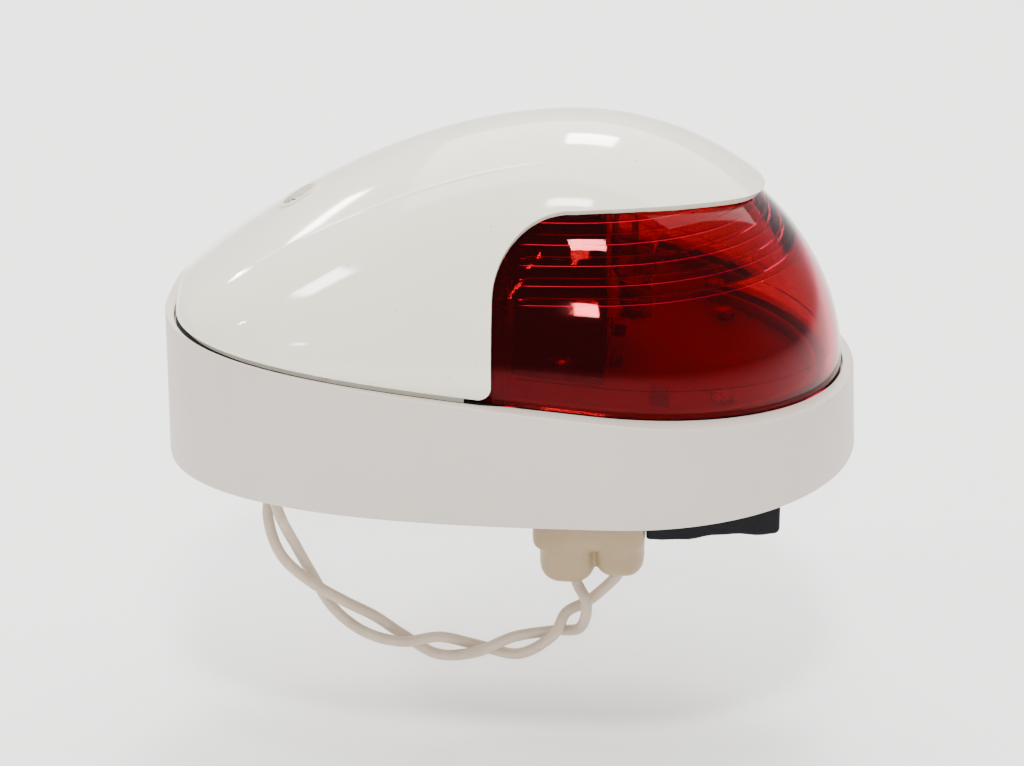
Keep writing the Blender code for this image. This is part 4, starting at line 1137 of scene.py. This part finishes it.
def make_bulb():
    """Festoon bulb: glass, ribbed caps with pips, and a coiled filament on its supports."""
    axis = (BULB_CENTRE.x, BULB_CENTRE.y, 0.0)
    radius, neck = (BULB_HIGH.x - BULB_LOW.x) / 2, 0.0024
    low, high = BULB_LOW.z, BULB_HIGH.z
    outer = [(neck + (radius - neck) * math.sin(math.radians(a)),
              high - 0.0030 * (1 - math.cos(math.radians(a)))) for a in range(0, 91, 10)]
    outer += [(r, low + high - z) for r, z in reversed(outer)]
    inner = [(r - 0.0005, z) for r, z in reversed(outer)]
    glass = to_object("bulb_envelope", lathe(outer + inner, axis, closed=True))
    place_piece(glass, "bulb", "glass", ["bulb_glass"])

    for name, way in (("bulb_cap_lower", 1), ("bulb_cap_upper", -1)):
        corner_low, corner_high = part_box(name)
        tip = corner_low.z if way > 0 else corner_high.z
        cap = (corner_high.x - corner_low.x) / 2
        tall = corner_high.z - corner_low.z
        pip = 0.0016
        profile = [(0.0, 0.0), (0.0009, 0.0), (0.0013, 0.0004), (0.0013, pip), (cap - 0.0008, pip + 0.0001),
                   (cap, pip + 0.0008)]
        for rib in range(3):
            base = pip + 0.0012 + 0.0008 * rib
            profile += [(cap, base), (cap - 0.00025, base + 0.0002), (cap, base + 0.0004)]
        profile += [(cap, tall - 0.0002), (cap - 0.0002, tall), (0.0, tall)]
        profile = [(r, tip + way * z) for r, z in profile]
        shape = lathe(profile, axis)
        bmesh.ops.recalc_face_normals(shape, faces=shape.faces)
        made = to_object(name + "_turned", shape)
        place_piece(made, "bulb", "brass", [name])

    points = [Vector((0.0, 0.0, low + 0.0006)), Vector((0.0, 0.0, low + 0.004))]
    turns, per_turn = 14, 12
    for step in range(turns * per_turn + 1):
        angle = 2 * math.pi * step / per_turn
        rise = (high - low - 0.0112) * step / (turns * per_turn)
        points.append(Vector((0.0007 * math.cos(angle), 0.0007 * math.sin(angle), low + 0.0056 + rise)))
    points += [Vector((0.0, 0.0, high - 0.004)), Vector((0.0, 0.0, high - 0.0006))]
    curve = bpy.data.curves.new("bulb_coil", "CURVE")
    curve.dimensions = "3D"
    curve.bevel_depth = 0.00014
    curve.bevel_resolution = 1
    curve.use_fill_caps = True
    spline = curve.splines.new("POLY")
    spline.points.add(len(points) - 1)
    for point, place in zip(spline.points, points):
        point.co = (*(place + Vector(axis)), 1.0)
    coil = bpy.data.objects.new("bulb_coil", curve)
    bpy.context.scene.collection.objects.link(coil)
    coil.modifiers.new("closed", "WELD").merge_threshold = WELD
    place_piece(coil, "bulb", "tungsten", ["bulb_filament"])


def make_header():
    """Black header under the floor: soft corners and a slightly uneven lower edge."""
    near = HOUSING_HIGH.x + GAP
    far, left = HEADER_HIGH.x, HEADER_LOW.x
    half = HEADER_HIGH.y
    shelf = -GAP - 0.0023
    outline = [(left, -GAP), (left, shelf), (near, shelf), (near, HEADER_LOW.z)]
    for step in range(1, 17):
        x = near + (far - 0.0022 - near) * step / 17
        climb = min(1.0, max(0.0, (x - near - 0.006) / 0.013))
        rise = 0.0018 * (0.5 - 0.5 * math.cos(math.pi * climb)) + 0.00012 * math.sin(x * 900)
        outline.append((x, HEADER_LOW.z + rise))
    outline += arc((far - 0.0014, -0.0170), 0.0014, -90, 0, 6) + [(far, -GAP)]
    bm = bmesh.new()
    verts = [bm.verts.new((x, -half, z)) for x, z in outline]
    bm.faces.new(verts)
    grown = bmesh.ops.extrude_face_region(bm, geom=bm.faces[:])["geom"]
    bmesh.ops.translate(bm, vec=(0, 2 * half, 0), verts=verts_in(grown))
    bmesh.ops.recalc_face_normals(bm, faces=bm.faces)
    header = to_object("header_block", bm)
    cuts = []
    for x, y, _ in BLADES:
        cuts.append(block((x - 0.0027, y - 0.0007, -0.005), (x + 0.0027, y + 0.0007, 0.001)))
    for number in (1, 2):
        cuts.append(cylinder(0.0018, -0.010, 0.001, (centre_of(f"header_screw_{number}").x, 0.0), 20))
    combine(header, to_object("header_cuts", together(cuts)), "DIFFERENCE")
    softened(header, 0.0007, angle=math.radians(50))
    settle(header)
    place_piece(header, "root", "inner_black", ["terminal_header"])


def make_connector():
    """Soft beige two-lobed sleeve and the pockets in its top."""
    left, right = HOUSING_LOW.x, HOUSING_HIGH.x
    top = HOUSING_HIGH.z
    near, far = HOUSING_LOW.y, HOUSING_HIGH.y
    middle = (left + right) / 2 + 0.0010
    sleeve = to_object("connector_sleeve", block((left - 0.0006, near - 0.0002, -0.0235),
                                                 (right + 0.0001, far + 0.0002, top), 0.0024, 5))
    lobes = [block((left + 0.0008, near, -0.0322), (middle + 0.0001, far, -0.012), 0.0046, 6),
             block((middle - 0.0001, near, -0.0303), (right - 0.0001, far, -0.012), 0.0042, 6)]
    for lobe in lobes:
        combine(sleeve, to_object("lobe", lobe), "UNION")
    remesh = sleeve.modifiers.new("skin", "REMESH")
    remesh.mode = "VOXEL"
    remesh.voxel_size = 0.00038
    soften = sleeve.modifiers.new("soften", "SMOOTH")
    soften.factor = 0.5
    soften.iterations = 12
    settle(sleeve)
    for vert in sleeve.data.vertices:
        vert.co.z = min(vert.co.z, top)
    pockets = []
    for x, y, _ in BLADES:
        pockets.append(block((x - 0.0033, y - 0.0019, -0.016), (x + 0.0033, y + 0.0019, 0.0)))
    combine(sleeve, to_object("pockets", together(pockets)), "DIFFERENCE")
    sleeve.data.shade_smooth()
    sleeve.data.set_sharp_from_angle(angle=math.radians(50))
    place_piece(sleeve, "root", "connector_beige", ["connector_housing"])


def dress_frame_nodes():
    """Give the CAD nodes that still show their finishes and slightly rounded edges."""
    record = frame["record"]
    slots = {entry["node"]: entry["material_slot"] for entry in record["subparts"]}
    rounding = {"lamp_tray": 0.0003, "sector_screen": 0.0005, "contact_lower": 0.00012,
                "contact_upper": 0.00012, "terminal_block": 0.0004, "cover_screw": 0.00015,
                "cover_screw_washer": 0.00012, "tail_grommet": 0.0004, "threaded_insert": 0.0002}
    for name, node in frame["nodes"].items():
        if node.hide_render:
            continue
        material = FINISHES[slots[name]]
        if not node.material_slots:
            node.data.materials.append(material)
        for holder in node.material_slots:
            holder.material = material
        weld = node.modifiers.new("weld", "WELD")
        weld.merge_threshold = 0.000002
        if name in rounding:
            softened(node, rounding[name], 2, math.radians(40))


# ---------------------------------------------------------------- the add-on

class NAVLIGHT_OT_camera(bpy.types.Operator):
    """Set the camera that looks at the light's side"""

    bl_idname = "navlight.camera"
    bl_label = "Camera"

    def execute(self, context):
        make_camera()
        return {"FINISHED"}


class NAVLIGHT_OT_leads(bpy.types.Operator):
    """Run the twisted pair of leads from the connector to the tail"""

    bl_idname = "navlight.leads"
    bl_label = "Leads"

    def execute(self, context):
        make_leads()
        return {"FINISHED"}


class NAVLIGHT_OT_connector(bpy.types.Operator):
    """Make the soft two-lobed connector"""

    bl_idname = "navlight.connector"
    bl_label = "Connector"

    def execute(self, context):
        make_connector()
        return {"FINISHED"}


class NAVLIGHT_OT_stage(bpy.types.Operator):
    """Lay the floor and hang the soft panels"""

    bl_idname = "navlight.stage"
    bl_label = "Stage"

    def execute(self, context):
        make_stage()
        return {"FINISHED"}


class NAVLIGHT_OT_base(bpy.types.Operator):
    """Make the wedge-shaped base"""

    bl_idname = "navlight.base"
    bl_label = "Base"

    def execute(self, context):
        make_base()
        return {"FINISHED"}


class NAVLIGHT_OT_seals(bpy.types.Operator):
    """Make the deck seal and the lens gasket"""

    bl_idname = "navlight.seals"
    bl_label = "Seals"

    def execute(self, context):
        make_seals()
        return {"FINISHED"}


class NAVLIGHT_OT_cover(bpy.types.Operator):
    """Make the glossy cover with its visor"""

    bl_idname = "navlight.cover"
    bl_label = "Cover"

    def execute(self, context):
        make_cover()
        return {"FINISHED"}


class NAVLIGHT_OT_lens(bpy.types.Operator):
    """Make the red lens with its prism steps"""

    bl_idname = "navlight.lens"
    bl_label = "Lens"

    def execute(self, context):
        make_lens()
        return {"FINISHED"}


class NAVLIGHT_OT_bulb(bpy.types.Operator):
    """Make the festoon bulb"""

    bl_idname = "navlight.bulb"
    bl_label = "Bulb"

    def execute(self, context):
        make_bulb()
        return {"FINISHED"}


class NAVLIGHT_OT_header(bpy.types.Operator):
    """Make the black header under the floor"""

    bl_idname = "navlight.header"
    bl_label = "Header"

    def execute(self, context):
        make_header()
        return {"FINISHED"}


class NAVLIGHT_OT_inside(bpy.types.Operator):
    """Finish the tray, the tower, the contacts and the fasteners"""

    bl_idname = "navlight.inside"
    bl_label = "Inside pieces"

    def execute(self, context):
        dress_frame_nodes()
        return {"FINISHED"}


STEPS = (NAVLIGHT_OT_camera, NAVLIGHT_OT_leads, NAVLIGHT_OT_connector, NAVLIGHT_OT_stage,
         NAVLIGHT_OT_base, NAVLIGHT_OT_seals, NAVLIGHT_OT_cover, NAVLIGHT_OT_lens, NAVLIGHT_OT_bulb,
         NAVLIGHT_OT_header, NAVLIGHT_OT_inside)


class NAVLIGHT_PT_panel(bpy.types.Panel):
    """Lists the sizes, the colours and the building steps"""

    bl_idname = "NAVLIGHT_PT_panel"
    bl_label = "Navigation light"
    bl_space_type = "VIEW_3D"
    bl_region_type = "UI"
    bl_category = "Nav Light"

    def draw(self, context):
        layout = self.layout
        for step in STEPS:
            layout.operator(step.bl_idname)
        for group in (context.scene.light_sizes, context.scene.light_colours):
            box = layout.box()
            for name in group.bl_rna.properties.keys():
                if name not in ("rna_type", "name"):
                    box.prop(group, name)


CLASSES = (LightSizes, LightColours, *STEPS, NAVLIGHT_PT_panel)


def register():
    """Register the classes and hang the properties on the scene."""
    for cls in CLASSES:
        bpy.utils.register_class(cls)
    bpy.types.Scene.light_sizes = PointerProperty(type=LightSizes)
    bpy.types.Scene.light_colours = PointerProperty(type=LightColours)


def unregister():
    """Take away what register added."""
    del bpy.types.Scene.light_colours
    del bpy.types.Scene.light_sizes
    for cls in reversed(CLASSES):
        bpy.utils.unregister_class(cls)


def main():
    """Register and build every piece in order."""
    register()
    FINISHES.update(make_finishes())
    for step in STEPS:
        group, name = step.bl_idname.split(".")
        getattr(getattr(bpy.ops, group), name)()


if __name__ == "__main__":
    main()
